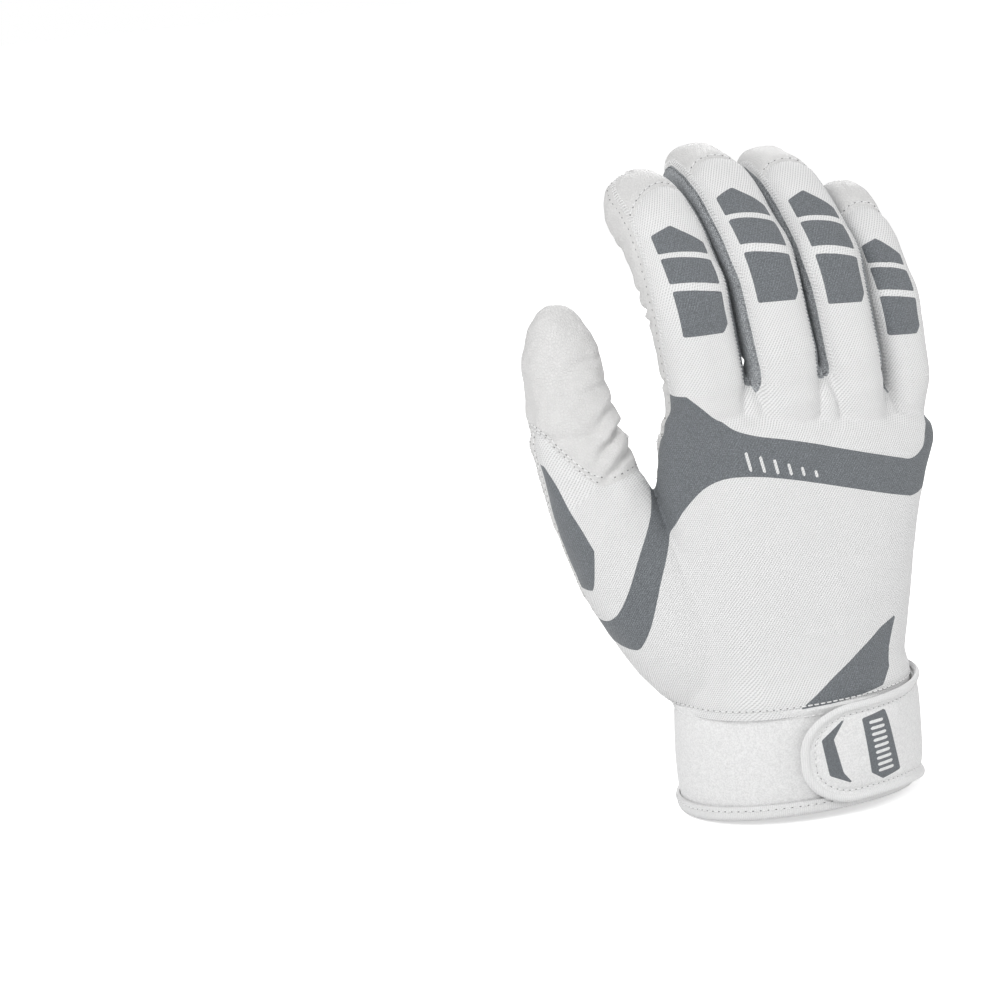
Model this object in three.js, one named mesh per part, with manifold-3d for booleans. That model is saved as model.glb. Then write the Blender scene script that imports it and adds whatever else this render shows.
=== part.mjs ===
// Batting glove for a right hand, size adult large, standing on the hem of its cuff.
// Millimetres. +Z runs up the fingers, -Y is the back of the hand, +Y the palm, -X the thumb.
// The origin is the centre of the cuff's lower rim.
// Leather, knit and mesh panels are thin shells, cut from the skin of the hand along its seams.

import * as THREE from 'three';
import { mergeVertices } from 'three/addons/utils/BufferGeometryUtils.js';
import Module from 'manifold-3d';

const wasm = await Module();
wasm.setup();

// Driving sizes

const seamGap = 0.3;
const skinWall = 1.4;
const overrun = 8;
const overrunDegrees = 1;
const roundness = 2.4;
const degree = Math.PI / 180;
const fullTurn = 2 * Math.PI;

const cuff = { halfWidth: 36.5, halfDepth: 28, height: 34, wall: 2.4, startDegrees: 30, endDegrees: 345, steps: 30 };

const hem = { height: 5, skin: 0.9 };

const palm = {
  length: 99.7, halfBreadth: 42.8, halfDepth: 16.5, drift: 9.8, sides: 36,
  slope: 0.15, slopeStartShare: 0.5, slopeReachShare: 0.33,
};

// Rings of the palm from the wrist to the knuckles: height as a share of the palm's length,
// drift to the little finger, half width and half depth as shares of the palm's own sizes.
const palmRingShares = [
  [0, 0, 0.84, 1.62],
  [0.08, -0.05, 0.83, 1.5],
  [0.26, 0.1, 0.9, 1.3],
  [0.46, 0.3, 0.955, 1.18],
  [0.64, 0.5, 1.014, 1.08],
  [0.75, 0.735, 1.033, 1],
  [0.8, 0.82, 1.0175, 0.86],
  [0.83, 0.755, 0.944, 0.6],
];

// Each finger turns at the foot of its sleeve. Across is measured from the middle of the wrist
// to the little finger, front to the palm, and drop down from the foot of the middle finger.
const fingers = {
  index: { across: -21, front: 0.5, drop: 3.9, width: 24, depth: 21.4, length: 73, lean: -6, curl: [3, 30, 30] },
  middle: { across: 2.3, front: -3, drop: 0, width: 21.6, depth: 20.6, length: 83, lean: -5.5, curl: [10, 35, 30] },
  ring: { across: 24.2, front: -2.5, drop: 2.9, width: 20.2, depth: 19.4, length: 82, lean: -5, curl: [8, 36, 30] },
  little: { across: 44.4, front: 4, drop: 11.8, width: 17.6, depth: 17.4, length: 67, lean: -5, curl: [2, 27, 27] },
};

// Where a finger bends, how it narrows and where its pieces meet, as shares of its own sizes.
const bendPlaceShares = [0.35, 0.68];
const bendReachShare = 0.13;
const fingerStationShares = [0, 0.2, 0.32, 0.42, 0.6, 0.72, 0.84, 0.92, 0.965, 0.99];
const fingerTaperShares = [1, 0.98, 0.9, 0.84];
const stubTaperShare = 0.88;
const fingerDomeShare = 0.6;
const capStartShare = 0.64;
const sideStripShare = 0.54;

const sleeve = { foldHalf: 6.6, stub: 24, crotchDepth: 13, saddleHalf: 3.4, sides: 14, centreSteps: 32 };

const thumb = {
  across: -15.5, front: 4, up: 10, length: 126, halfWidth: 21.5, tipHalfWidth: 9.5, depthRatio: 0.93,
  startDegrees: 56, leanBackDegrees: -34, settle: 120, frontDegrees: 5.5, dome: 15, fold: 76, root: 8, sides: 18,
};

const thumbStationShares = [0, 0.14, 0.28, 0.42, 0.56, 0.7, 0.82, 0.91, 0.96, 0.99];
const thumbTaperPlaceShares = [0, 0.16, 0.42, 0.62, 0.72, 0.82, 1];
const thumbTaperShares = [1, 0.86, 0.55, 0.375, 0.27, 0.15, 0];

// The seam between the palm leather and the leather over the ball of the thumb:
// across as a share of the palm's half breadth, up as a share of its length.
const thenarSeamShares = [[-0.3, 0], [-0.18, 0.32], [-0.24, 0.5], [-0.52, 0.63], [-0.82, 0.7], [-0.82, 0.8]];

// The side seam between the palm side and the back: [across, front] as shares of the palm's half
// breadth, below the thumb's web and above it.
const lowSideSeamShares = [[-1.8, 0.32], [1.5, 0.05]];
const highSideSeamShares = [[-0.81, -0.13], [1.5, 0.05]];
const webShare = 0.7;

const wristSlit = { width: 3, length: 22 };

const piping = { startDegrees: 27.4, endDegrees: 29.4, stand: 1.3 };

const strap = {
  rootDegrees: 26.8, endDegrees: -112, lift: 1.4, height: 32, wall: 1.8, tabHeight: 27, tabLift: 3.4,
  tabRound: 13, steps: 26, waistStartShare: 0.3, waistReachShare: 0.3, tipShare: 0.3,
};

const strapBinding = { width: 2, skin: 0.25 };

const hookPatch = { startDegrees: -103, endDegrees: -62, wall: 1, height: 18, steps: 8 };

const pullTab = {
  centreDegrees: 99, width: 22, top: 33.2, stitchHeight: 9.6, wall: 1.1, loopGap: 0.8, foot: 0.6, steps: 7,
};

// Finishes

const finishes = {
  leather: new THREE.MeshStandardMaterial({ color: 0xe2e2df, roughness: 0.62, metalness: 0 }),
  knit: new THREE.MeshStandardMaterial({ color: 0xf2f2f2, roughness: 0.9, metalness: 0 }),
  mesh: new THREE.MeshStandardMaterial({ color: 0x8b9093, roughness: 0.95, metalness: 0 }),
  brushed: new THREE.MeshStandardMaterial({ color: 0xf0f0f1, roughness: 0.95, metalness: 0 }),
  binding: new THREE.MeshStandardMaterial({ color: 0xf4f4f4, roughness: 0.7, metalness: 0 }),
  webbing: new THREE.MeshStandardMaterial({ color: 0x7d8285, roughness: 0.85, metalness: 0 }),
  hook: new THREE.MeshStandardMaterial({ color: 0xdadada, roughness: 0.9, metalness: 0 }),
};

const glove = new THREE.Group();
glove.name = 'batting_glove';

// Solids and pieces

function solidFromGeometry(geometry) {
  const bare = geometry.clone();
  bare.deleteAttribute('normal');
  bare.deleteAttribute('uv');
  const merged = mergeVertices(bare);
  const vertProperties = Float32Array.from(merged.attributes.position.array);
  const triVerts = Uint32Array.from(merged.index.array);
  return new wasm.Manifold(new wasm.Mesh({ numProp: 3, vertProperties, triVerts }));
}

// Where two seams cross, a cut can leave crumbs beside the panel, so only the panel is kept.
function largestPart(solid) {
  const parts = solid.decompose();
  return parts.reduce((best, part) => (part.volume() > best.volume() ? part : best));
}

function addPiece(name, solid, finish) {
  const cut = largestPart(solid).getMesh();
  const geometry = new THREE.BufferGeometry();
  geometry.setAttribute('position', new THREE.BufferAttribute(Float32Array.from(cut.vertProperties), 3));
  geometry.setIndex(new THREE.BufferAttribute(Uint32Array.from(cut.triVerts), 1));
  geometry.computeVertexNormals();
  const piece = new THREE.Mesh(geometry, finishes[finish]);
  piece.name = name;
  glove.add(piece);
}

// A closed body through rings of equal count. Each ring runs anticlockwise seen from the far end.
function loft(rings) {
  const count = rings[0].length;
  const positions = rings.flat().flatMap((point) => [point.x, point.y, point.z]);
  const triangles = [];
  for (let row = 0; row + 1 < rings.length; row += 1) {
    for (let step = 0; step < count; step += 1) {
      const a = row * count + step;
      const b = row * count + (step + 1) % count;
      triangles.push(a, b, b + count, a, b + count, a + count);
    }
  }
  for (const row of [0, rings.length - 1]) {
    const centre = new THREE.Vector3();
    rings[row].forEach((point) => centre.addScaledVector(point, 1 / count));
    const hub = positions.length / 3;
    positions.push(centre.x, centre.y, centre.z);
    for (let step = 0; step < count; step += 1) {
      const a = row * count + step;
      const b = row * count + (step + 1) % count;
      triangles.push(hub, row === 0 ? b : a, row === 0 ? a : b);
    }
  }
  const geometry = new THREE.BufferGeometry();
  geometry.setAttribute('position', new THREE.Float32BufferAttribute(positions, 3));
  geometry.setIndex(triangles);
  return solidFromGeometry(geometry);
}

// An upright prism over an outline of [x, y] corners.
function uprightPrism(corners, low, high) {
  const shape = new THREE.Shape(corners.map(([x, y]) => new THREE.Vector2(x, y)));
  const geometry = new THREE.ExtrudeGeometry(shape, { depth: high - low, bevelEnabled: false });
  geometry.translate(0, 0, low);
  return solidFromGeometry(geometry);
}

// A prism that runs from front to back through an outline of [x, z] corners.
function throughPrism(corners, back, front) {
  const shape = new THREE.Shape(corners.map(([x, z]) => new THREE.Vector2(x, z)));
  const geometry = new THREE.ExtrudeGeometry(shape, { depth: front - back, bevelEnabled: false });
  geometry.rotateX(Math.PI / 2);
  geometry.translate(0, front, 0);
  return solidFromGeometry(geometry);
}

function blockBetween(low, high) {
  const size = new THREE.Vector3().subVectors(high, low);
  const middle = new THREE.Vector3().addVectors(low, high).multiplyScalar(1 / 2);
  const geometry = new THREE.BoxGeometry(size.x, size.y, size.z);
  geometry.translate(middle.x, middle.y, middle.z);
  return solidFromGeometry(geometry);
}

// One point of a rounded oval with the given half sizes.
function ovalPoint(angle, halfWidth, halfDepth) {
  const power = 2 / roundness;
  const [c, s] = [Math.cos(angle), Math.sin(angle)];
  return [halfWidth * Math.sign(c) * Math.abs(c) ** power, halfDepth * Math.sign(s) * Math.abs(s) ** power];
}

function smoothStep(value) {
  const x = Math.min(Math.max(value, 0), 1);
  return x * x * (3 - 2 * x);
}

function mixAlong(places, values, at) {
  let last = 0;
  while (last + 2 < places.length && at > places[last + 1]) last += 1;
  const x = Math.min(Math.max((at - places[last]) / (places[last + 1] - places[last]), 0), 1);
  return values[last] + (values[last + 1] - values[last]) * x;
}

// How a tube narrows over its rounded end.
function domeShare(left, reach) {
  return left < reach ? Math.sqrt(Math.max(1 - (1 - left / reach) ** 2, 0)) : 1;
}

// A tube of skin around a curved centre line. A subclass says where the line runs.
class Sleeve {
  constructor(length, stationShares, sides) {
    this.length = length;
    this.stationShares = stationShares;
    this.sides = sides;
  }

  centre(at) {
    const point = this.foot.clone();
    for (let step = 0; step < sleeve.centreSteps; step += 1) {
      point.addScaledVector(this.direction(at * (step + 1 / 2) / sleeve.centreSteps), at / sleeve.centreSteps);
    }
    return point;
  }

  place(at, across, front) {
    const axes = this.axes(at);
    return this.centre(at).addScaledVector(axes.thumbward, -across).addScaledVector(axes.palmward, front);
  }

  stations(from, to, reach) {
    const between = this.stationShares.map((share) => share * reach);
    return [from, ...between.filter((at) => at > from + seamGap && at < to - seamGap), to];
  }

  // The body between two places on the centre line, drawn in by an inset.
  body(from, to, inset) {
    const reach = this.length - inset;
    const end = Math.min(to, reach * this.stationShares.at(-1));
    return loft(this.stations(from, end, reach).map((at) => {
      const half = this.halfSizes(at).map((size) => Math.max(size - inset, skinWall / 2));
      return Array.from({ length: this.sides }, (_, step) => {
        const [across, front] = ovalPoint(fullTurn * step / this.sides, half[0], half[1]);
        return this.place(at, across, front);
      });
    }));
  }

  // A bar that follows the centre line, to cut a strip out of the skin.
  bar(from, to, acrossRange, frontRange) {
    const [left, right] = acrossRange;
    const [back, front] = frontRange;
    const corners = [[right, back], [right, front], [left, front], [left, back]];
    const reach = this.length * this.stationShares.at(-4);
    return loft(this.stations(from, to, reach).map((at) => corners.map(([x, y]) => this.place(at, x, y))));
  }
}

class FingerSleeve extends Sleeve {
  constructor(sizes) {
    super(sizes.length, fingerStationShares, sleeve.sides);
    const lean = sizes.lean * degree;
    this.sizes = sizes;
    this.up = new THREE.Vector3(Math.sin(lean), 0, Math.cos(lean));
    this.level = new THREE.Vector3(0, 1, 0);
    this.foot = new THREE.Vector3(sizes.across, sizes.front, cuff.height + palm.length - sizes.drop);
  }

  turn(at) {
    const bend = (place) => smoothStep((at / this.length - place + bendReachShare) / (2 * bendReachShare));
    const [start, first, second] = this.sizes.curl;
    return (start + first * bend(bendPlaceShares[0]) + second * bend(bendPlaceShares[1])) * degree;
  }

  // Below its foot a finger's sleeve runs straight down into the palm.
  direction(at) {
    if (at < 0) return new THREE.Vector3(0, 0, 1);
    const turn = this.turn(at);
    return this.up.clone().multiplyScalar(Math.cos(turn)).addScaledVector(this.level, Math.sin(turn));
  }

  axes(at) {
    const turn = this.turn(at);
    const palmward = this.level.clone().multiplyScalar(Math.cos(turn)).addScaledVector(this.up, -Math.sin(turn));
    return { thumbward: new THREE.Vector3().crossVectors(this.up, this.level), palmward };
  }

  halfSizes(at) {
    const places = [-sleeve.stub / this.length, 0, ...bendPlaceShares, 1];
    const taper = mixAlong(places, [stubTaperShare, ...fingerTaperShares], at / this.length);
    const share = taper * domeShare(this.length - at, this.sizes.width * fingerDomeShare) / 2;
    return [this.sizes.width * share, this.sizes.depth * share];
  }
}

// The thumb's sleeve grows out of the side of the palm and turns upright as it rises.
class ThumbSleeve extends Sleeve {
  constructor() {
    super(thumb.length, thumbStationShares, thumb.sides);
    this.foot = new THREE.Vector3(thumb.across, thumb.front, cuff.height + thumb.up);
  }

  direction(at) {
    const fade = Math.exp(-at / thumb.settle);
    const angle = (thumb.leanBackDegrees + (thumb.startDegrees - thumb.leanBackDegrees) * fade) * degree;
    return new THREE.Vector3(-Math.sin(angle), Math.tan(thumb.frontDegrees * degree), Math.cos(angle)).normalize();
  }

  axes(at) {
    const direction = this.direction(at);
    const thumbward = new THREE.Vector3().crossVectors(direction, new THREE.Vector3(0, 1, 0)).normalize();
    return { thumbward, palmward: new THREE.Vector3().crossVectors(thumbward, direction) };
  }

  halfSizes(at) {
    const swell = mixAlong(thumbTaperPlaceShares, thumbTaperShares, at / this.length);
    const body = thumb.tipHalfWidth + (thumb.halfWidth - thumb.tipHalfWidth) * swell;
    const half = body * domeShare(this.length - at, thumb.dome);
    return [half, half * thumb.depthRatio];
  }
}

const sleeves = Object.fromEntries(Object.entries(fingers).map(([name, sizes]) => [name, new FingerSleeve(sizes)]));
const thumbSleeve = new ThumbSleeve();
const fingerNames = Object.keys(fingers);
const farOut = palm.halfBreadth + palm.length;
const skyline = cuff.height + palm.length + thumb.length;

// The skin of the hand, up to the folds at the feet of the fingers and the thumb

function palmBody(inset, below) {
  return loft(palmRingShares.map(([heightShare, driftShare, widthShare, depthShare], row) => {
    const slope = palm.slope * smoothStep((heightShare - palm.slopeStartShare) / palm.slopeReachShare);
    const top = row === palmRingShares.length - 1 ? inset : 0;
    const bottom = row === 0 ? below : 0;
    return Array.from({ length: palm.sides }, (_, step) => {
      const half = [palm.halfBreadth * widthShare - inset, palm.halfDepth * depthShare - inset];
      const [across, front] = ovalPoint(fullTurn * step / palm.sides, half[0], half[1]);
      const height = cuff.height + seamGap + palm.length * heightShare - slope * across - top - bottom;
      return new THREE.Vector3(palm.drift * driftShare + across, front, height);
    });
  }));
}

function handBody(inset, reach) {
  const foldFoot = thumb.fold - sleeve.foldHalf;
  let body = palmBody(inset, reach).add(thumbSleeve.body(thumb.root + inset, foldFoot + reach, inset));
  for (const finger of Object.values(sleeves)) {
    body = body.add(finger.body(-sleeve.stub, -sleeve.foldHalf + reach, inset));
  }
  return body;
}

const underCuff = blockBetween(
  new THREE.Vector3(-farOut, -farOut, -farOut),
  new THREE.Vector3(farOut, farOut, cuff.height + seamGap),
);

function clearOfFolds(solid) {
  let rest = solid.subtract(underCuff);
  for (const finger of Object.values(sleeves)) {
    const across = finger.sizes.width / 2 + seamGap;
    const front = finger.sizes.depth / 2 + seamGap;
    rest = rest.subtract(finger.bar(-sleeve.foldHalf, overrun, [-across, across], [-front, front]));
  }
  return rest;
}

const handSkin = clearOfFolds(handBody(0, 0).subtract(handBody(skinWall, overrun)));

// The mesh saddle between two fingers, at the foot of the gap.
function crotchBlock(left, right, margin) {
  const [a, b] = [sleeves[left], sleeves[right]];
  const lower = Math.min(a.foot.z, b.foot.z) - sleeve.foldHalf;
  const edgeA = a.place(-sleeve.crotchDepth, a.sizes.width / 2, 0);
  const edgeB = b.place(-sleeve.crotchDepth, -b.sizes.width / 2, 0);
  const middle = new THREE.Vector3().addVectors(edgeA, edgeB).multiplyScalar(1 / 2);
  const half = sideStripShare * Math.min(a.sizes.depth, b.sizes.depth) / 2;
  const wide = sleeve.saddleHalf + margin;
  const deep = half + margin;
  return blockBetween(
    new THREE.Vector3(middle.x - wide, middle.y - deep, lower - sleeve.crotchDepth - margin),
    new THREE.Vector3(middle.x + wide, middle.y + deep, skyline),
  );
}

const crotchPairs = fingerNames.slice(1).map((name, number) => [fingerNames[number], name]);

function sideSeamLine(shares, margin) {
  return shares.map(([x, y]) => [x * palm.halfBreadth, y * palm.halfBreadth - margin]);
}

// Everything on the palm side of the side seams.
function palmSide(margin) {
  const low = sideSeamLine(lowSideSeamShares, margin);
  const high = sideSeamLine(highSideSeamShares, margin);
  const web = cuff.height + palm.length * webShare - margin;
  const closed = (line) => [...line, [line[1][0], farOut], [line[0][0], farOut]];
  return uprightPrism(closed(low), 0, skyline).add(uprightPrism(closed(high), web, skyline));
}

// Everything on the thumb side of the thenar seam.
function thenarSide(margin) {
  const seam = thenarSeamShares.map(([x, z]) => [
    x * palm.halfBreadth + margin, cuff.height + z * palm.length + margin,
  ]);
  const top = seam.at(-1)[1];
  return throughPrism([[-farOut, 0], [seam[0][0], 0], ...seam, [-farOut, top]], -farOut, farOut);
}

function wristSlitBlock(margin) {
  const [, ulnar] = sideSeamLine(lowSideSeamShares, 0);
  const front = ulnar[1] - seamGap + margin;
  return blockBetween(
    new THREE.Vector3(palm.drift, front - wristSlit.width - 2 * margin, 0),
    new THREE.Vector3(farOut, front, cuff.height + wristSlit.length + margin),
  );
}

function addHandPanels() {
  let panels = handSkin;
  for (const [left, right] of crotchPairs) {
    const saddle = handSkin.intersect(crotchBlock(left, right, 0));
    addPiece(`crotch_${left}_${right}`, saddle, 'mesh');
    panels = panels.subtract(crotchBlock(left, right, seamGap));
  }
  const front = panels.intersect(palmSide(0));
  const back = panels.subtract(palmSide(seamGap));
  addPiece('thenar_leather', front.intersect(thenarSide(0)), 'leather');
  addPiece('palm_leather', front.subtract(thenarSide(seamGap)), 'leather');
  addPiece('back_knit', back.subtract(wristSlitBlock(seamGap)), 'knit');
  addPiece('wrist_slit_binding', back.intersect(wristSlitBlock(0)), 'binding');
}

// Fingers and thumb

function addFold(name, tube, place) {
  const [low, high] = [place - sleeve.foldHalf + seamGap, place + sleeve.foldHalf - seamGap];
  const [from, to] = [low - overrun, high + overrun];
  const reach = tube.halfSizes(place)[0] + overrun;
  const ring = tube.body(low, high, 0).subtract(tube.body(from, to, skinWall));
  const front = tube.bar(from, to, [-reach, reach], [seamGap / 2, reach]);
  const back = tube.bar(from, to, [-reach, reach], [-reach, -seamGap / 2]);
  addPiece(`${name}_crease_leather`, ring.intersect(front), 'leather');
  addPiece(`${name}_knuckle_knit`, ring.intersect(back), name === 'thumb' ? 'leather' : 'knit');
}

function addFinger(name, hasRadialMesh, hasUlnarMesh) {
  const finger = sleeves[name];
  const { width, depth, length } = finger.sizes;
  const start = sleeve.foldHalf;
  const from = start - overrun;
  const end = length + overrun;
  const half = sideStripShare * depth / 2;
  const cap = length * capStartShare;
  const radial = [-width, -seamGap / 2];
  const ulnar = [seamGap / 2, width];
  const side = [seamGap - half, half - seamGap];
  const skin = finger.body(start, end, 0).subtract(finger.body(from, end, skinWall));

  let front = finger.bar(from, end, [-width, width], [half, depth]);
  let back = finger.bar(from, end, [-width, width], [-depth, -half]);
  if (!hasRadialMesh) front = front.add(finger.bar(from, end, radial, [seamGap - half, depth]));
  if (!hasUlnarMesh) back = back.add(finger.bar(from, end, ulnar, [-depth, half - seamGap]));
  const upper = finger.bar(cap, end + overrun, [-width, width], [-depth, depth]);
  const lower = finger.bar(from - overrun, cap - seamGap, [-width, width], [-depth, depth]);
  addPiece(`${name}_front_leather`, skin.intersect(front), 'leather');
  addPiece(`${name}_back_knit`, skin.intersect(back).intersect(lower), 'knit');
  addPiece(`${name}_tip_cap`, skin.intersect(back).intersect(upper), 'leather');
  if (hasRadialMesh) {
    addPiece(`${name}_radial_mesh`, skin.intersect(finger.bar(from, end, radial, side)), 'mesh');
  }
  if (hasUlnarMesh) {
    addPiece(`${name}_ulnar_mesh`, skin.intersect(finger.bar(from, end, ulnar, side)), 'mesh');
  }
  addFold(name, finger, 0);
}

function addThumb() {
  const start = thumb.fold + sleeve.foldHalf;
  const from = start - overrun;
  const end = thumb.length + overrun;
  const reach = thumb.halfWidth;
  const skin = thumbSleeve.body(start, end, 0).subtract(thumbSleeve.body(from, end, skinWall));
  const front = thumbSleeve.bar(from, end, [-reach, reach], [seamGap / 2, reach]);
  const back = thumbSleeve.bar(from, end, [-reach, reach], [-reach, -seamGap / 2]);
  addPiece('thumb_front_leather', skin.intersect(front), 'leather');
  addPiece('thumb_back_leather', skin.intersect(back), 'leather');
  addFold('thumb', thumbSleeve, thumb.fold);
}

// Cuff, strap and pull tab

function cuffPoint(degrees, offset, height) {
  const [c, s] = [Math.cos(degrees * degree), Math.sin(degrees * degree)];
  return new THREE.Vector3((cuff.halfWidth + offset) * c, (cuff.halfDepth + offset) * s, height);
}

// A band around the cuff with a rectangular section, which may change along its way.
function band(fromDegrees, toDegrees, steps, section) {
  const rings = [];
  for (let step = 0; step <= steps; step += 1) {
    const share = step / steps;
    const { inner, outer, low, high } = section(share);
    const degrees = fromDegrees + (toDegrees - fromDegrees) * share;
    const corners = [[inner, low], [inner, high], [outer, high], [outer, low]];
    if (toDegrees < fromDegrees) corners.reverse();
    rings.push(corners.map(([offset, height]) => cuffPoint(degrees, offset, height)));
  }
  return loft(rings);
}

function plainBand(degrees, steps, inner, outer, low, high) {
  return band(degrees[0], degrees[1], steps, () => ({ inner, outer, low, high }));
}

function addCuff() {
  const arc = [cuff.startDegrees, cuff.endDegrees];
  const bandFoot = hem.skin + seamGap;
  addPiece('cuff_band', plainBand(arc, cuff.steps, -cuff.wall, 0, bandFoot, cuff.height), 'brushed');
  const wrap = plainBand(
    arc, cuff.steps, -cuff.wall - seamGap - hem.skin, seamGap + hem.skin, 0, hem.height,
  );
  const open = [arc[0] - overrunDegrees, arc[1] + overrunDegrees];
  const channel = plainBand(
    open, cuff.steps, -cuff.wall - seamGap, seamGap, hem.skin, hem.height + overrun,
  );
  addPiece('cuff_hem_binding', wrap.subtract(channel), 'binding');
  const seam = [piping.startDegrees, piping.endDegrees];
  addPiece('strap_seam_piping', plainBand(seam, 1, -cuff.wall, piping.stand, 0, cuff.height), 'binding');
}

const strapStand = seamGap * 2 + hem.skin;

// The strap's blank: full height at its root, then a tab with a round end.
function strapBlank(inset, inner, outer, rootDegrees) {
  const sweep = (strap.rootDegrees - strap.endDegrees) * degree;
  const length = sweep * (cuff.halfWidth + cuff.halfDepth) / 2;
  const endDegrees = strap.endDegrees + inset / length * sweep / degree;
  const section = (share) => {
    const at = share * (length - inset);
    const waist = smoothStep((at / length - strap.waistStartShare) / strap.waistReachShare);
    const middleRoot = strap.lift + strap.height / 2;
    const middleTab = strap.tabLift + strap.tabHeight / 2;
    const middle = middleRoot + (middleTab - middleRoot) * waist;
    const full = (strap.height + (strap.tabHeight - strap.height) * waist) / 2 - inset;
    const left = length - inset - at;
    const round = Math.max(domeShare(left, strap.tabRound - inset), strap.tipShare);
    return { inner, outer, low: middle - full * round, high: middle + full * round };
  };
  return band(rootDegrees, endDegrees, strap.steps, section);
}

function addStrap() {
  const outer = strapStand + strap.wall;
  const { width, skin } = strapBinding;
  addPiece('strap_panel', strapBlank(width, strapStand + skin, outer, strap.rootDegrees), 'brushed');
  const rim = strapBlank(0, strapStand, outer + skin, strap.rootDegrees);
  const opening = strapBlank(width - seamGap, 0, outer + overrun, strap.rootDegrees + overrunDegrees);
  addPiece('strap_binding', rim.subtract(opening), 'binding');
  const low = strap.tabLift + (strap.tabHeight - hookPatch.height) / 2;
  const patchInner = strapStand + skin - seamGap - hookPatch.wall;
  const patchOuter = patchInner + hookPatch.wall;
  const arc = [hookPatch.startDegrees, hookPatch.endDegrees];
  const patch = plainBand(arc, hookPatch.steps, patchInner, patchOuter, low, low + hookPatch.height);
  addPiece('hook_patch', patch, 'hook');
}

function addPullTab() {
  const halfArc = pullTab.width / 2 / cuff.halfWidth / degree;
  const arc = [pullTab.centreDegrees - halfArc, pullTab.centreDegrees + halfArc];
  const patchOuter = seamGap + 2 * pullTab.wall;
  const stitch = pullTab.stitchHeight;
  addPiece('pull_tab_webbing', plainBand(arc, pullTab.steps, seamGap, patchOuter, stitch, pullTab.top), 'webbing');
  const inner = strapStand;
  const outer = inner + 2 * pullTab.wall + pullTab.loopGap;
  const loopTop = stitch - seamGap;
  const wrap = plainBand(arc, pullTab.steps, inner, outer, pullTab.foot, loopTop);
  const open = [arc[0] - overrunDegrees, arc[1] + overrunDegrees];
  const hollow = plainBand(
    open, pullTab.steps, inner + pullTab.wall, outer - pullTab.wall,
    pullTab.foot + pullTab.wall, loopTop - pullTab.wall,
  );
  addPiece('pull_tab_loop', wrap.subtract(hollow), 'webbing');
}

addHandPanels();
addFinger('index', false, true);
addFinger('middle', true, true);
addFinger('ring', true, true);
addFinger('little', true, false);
addThumb();
addCuff();
addStrap();
addPullTab();

export default glove;
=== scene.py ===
"""Looks of a right-hand batting glove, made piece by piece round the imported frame.

Sizes are millimetres while a piece is made, and metres once its mesh is finished. The frame's own
axes hold: +Z runs up the fingers, -Y is the back of the hand, +Y the palm, -X the thumb.
"""

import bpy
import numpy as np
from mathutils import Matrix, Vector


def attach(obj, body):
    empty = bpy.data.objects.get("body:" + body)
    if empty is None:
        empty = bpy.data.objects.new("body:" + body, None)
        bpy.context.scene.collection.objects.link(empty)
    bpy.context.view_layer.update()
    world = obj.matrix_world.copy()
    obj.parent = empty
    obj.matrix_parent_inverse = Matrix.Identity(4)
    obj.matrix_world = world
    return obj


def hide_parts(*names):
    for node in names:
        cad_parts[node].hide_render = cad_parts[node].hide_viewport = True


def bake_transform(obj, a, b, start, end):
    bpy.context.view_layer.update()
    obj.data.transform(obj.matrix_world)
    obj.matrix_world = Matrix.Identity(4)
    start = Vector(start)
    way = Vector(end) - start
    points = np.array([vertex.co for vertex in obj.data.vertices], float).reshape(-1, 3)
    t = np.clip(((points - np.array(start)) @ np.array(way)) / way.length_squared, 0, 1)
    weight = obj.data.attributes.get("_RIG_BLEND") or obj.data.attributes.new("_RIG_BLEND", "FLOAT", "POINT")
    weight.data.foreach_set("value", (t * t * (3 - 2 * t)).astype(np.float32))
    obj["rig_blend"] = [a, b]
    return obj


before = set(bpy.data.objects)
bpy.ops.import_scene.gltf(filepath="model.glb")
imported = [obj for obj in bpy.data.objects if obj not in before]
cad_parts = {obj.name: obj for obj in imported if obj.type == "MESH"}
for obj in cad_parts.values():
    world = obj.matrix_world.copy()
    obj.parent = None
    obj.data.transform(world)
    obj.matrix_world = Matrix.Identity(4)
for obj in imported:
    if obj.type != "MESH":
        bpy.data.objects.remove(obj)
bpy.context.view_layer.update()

import logging
import math
from collections.abc import Callable, Iterable, Sequence
from dataclasses import dataclass, field
from enum import Enum
from typing import ClassVar

import bmesh
import bpy
import numpy as np
from mathutils import Matrix, Vector

log = logging.getLogger("glove")

MM = 0.001
Array = np.ndarray
Outline = Sequence[tuple[float, float]]
Table = Sequence[tuple[float, ...]]
BMesh = bmesh.types.BMesh
Mesh = bpy.types.Mesh
Material = bpy.types.Material
Socket = bpy.types.NodeSocket


class Body(Enum):
    """The frame's bodies that pieces ride on."""

    HAND = "hand"
    INDEX = "index_finger"
    MIDDLE = "middle_finger"
    RING = "ring_finger"
    LITTLE = "little_finger"
    THUMB = "thumb"
    STRAP = "strap"
    LOOP = "pull_loop"


class Slot(Enum):
    """The record's material slots."""

    LEATHER = "leather"
    KNIT = "knit"
    MESH = "mesh"
    BRUSHED = "brushed"
    BINDING = "binding"
    WEBBING = "webbing"
    HOOK = "hook"


# Small sums on arrays


def smooth(value: Array | float) -> Array:
    """Smooth step from 0 to 1 while value goes from 0 to 1."""
    x = np.clip(value, 0.0, 1.0)
    return x * x * (3.0 - 2.0 * x)


def mix(a: Array | float, b: Array | float, weight: Array | float) -> Array:
    """a where weight is 0, b where it is 1."""
    return a + (b - a) * weight


def bell(value: Array, width: float) -> Array:
    """A round bump of height 1 about value 0."""
    return np.exp(-((value / width) ** 2))


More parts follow.
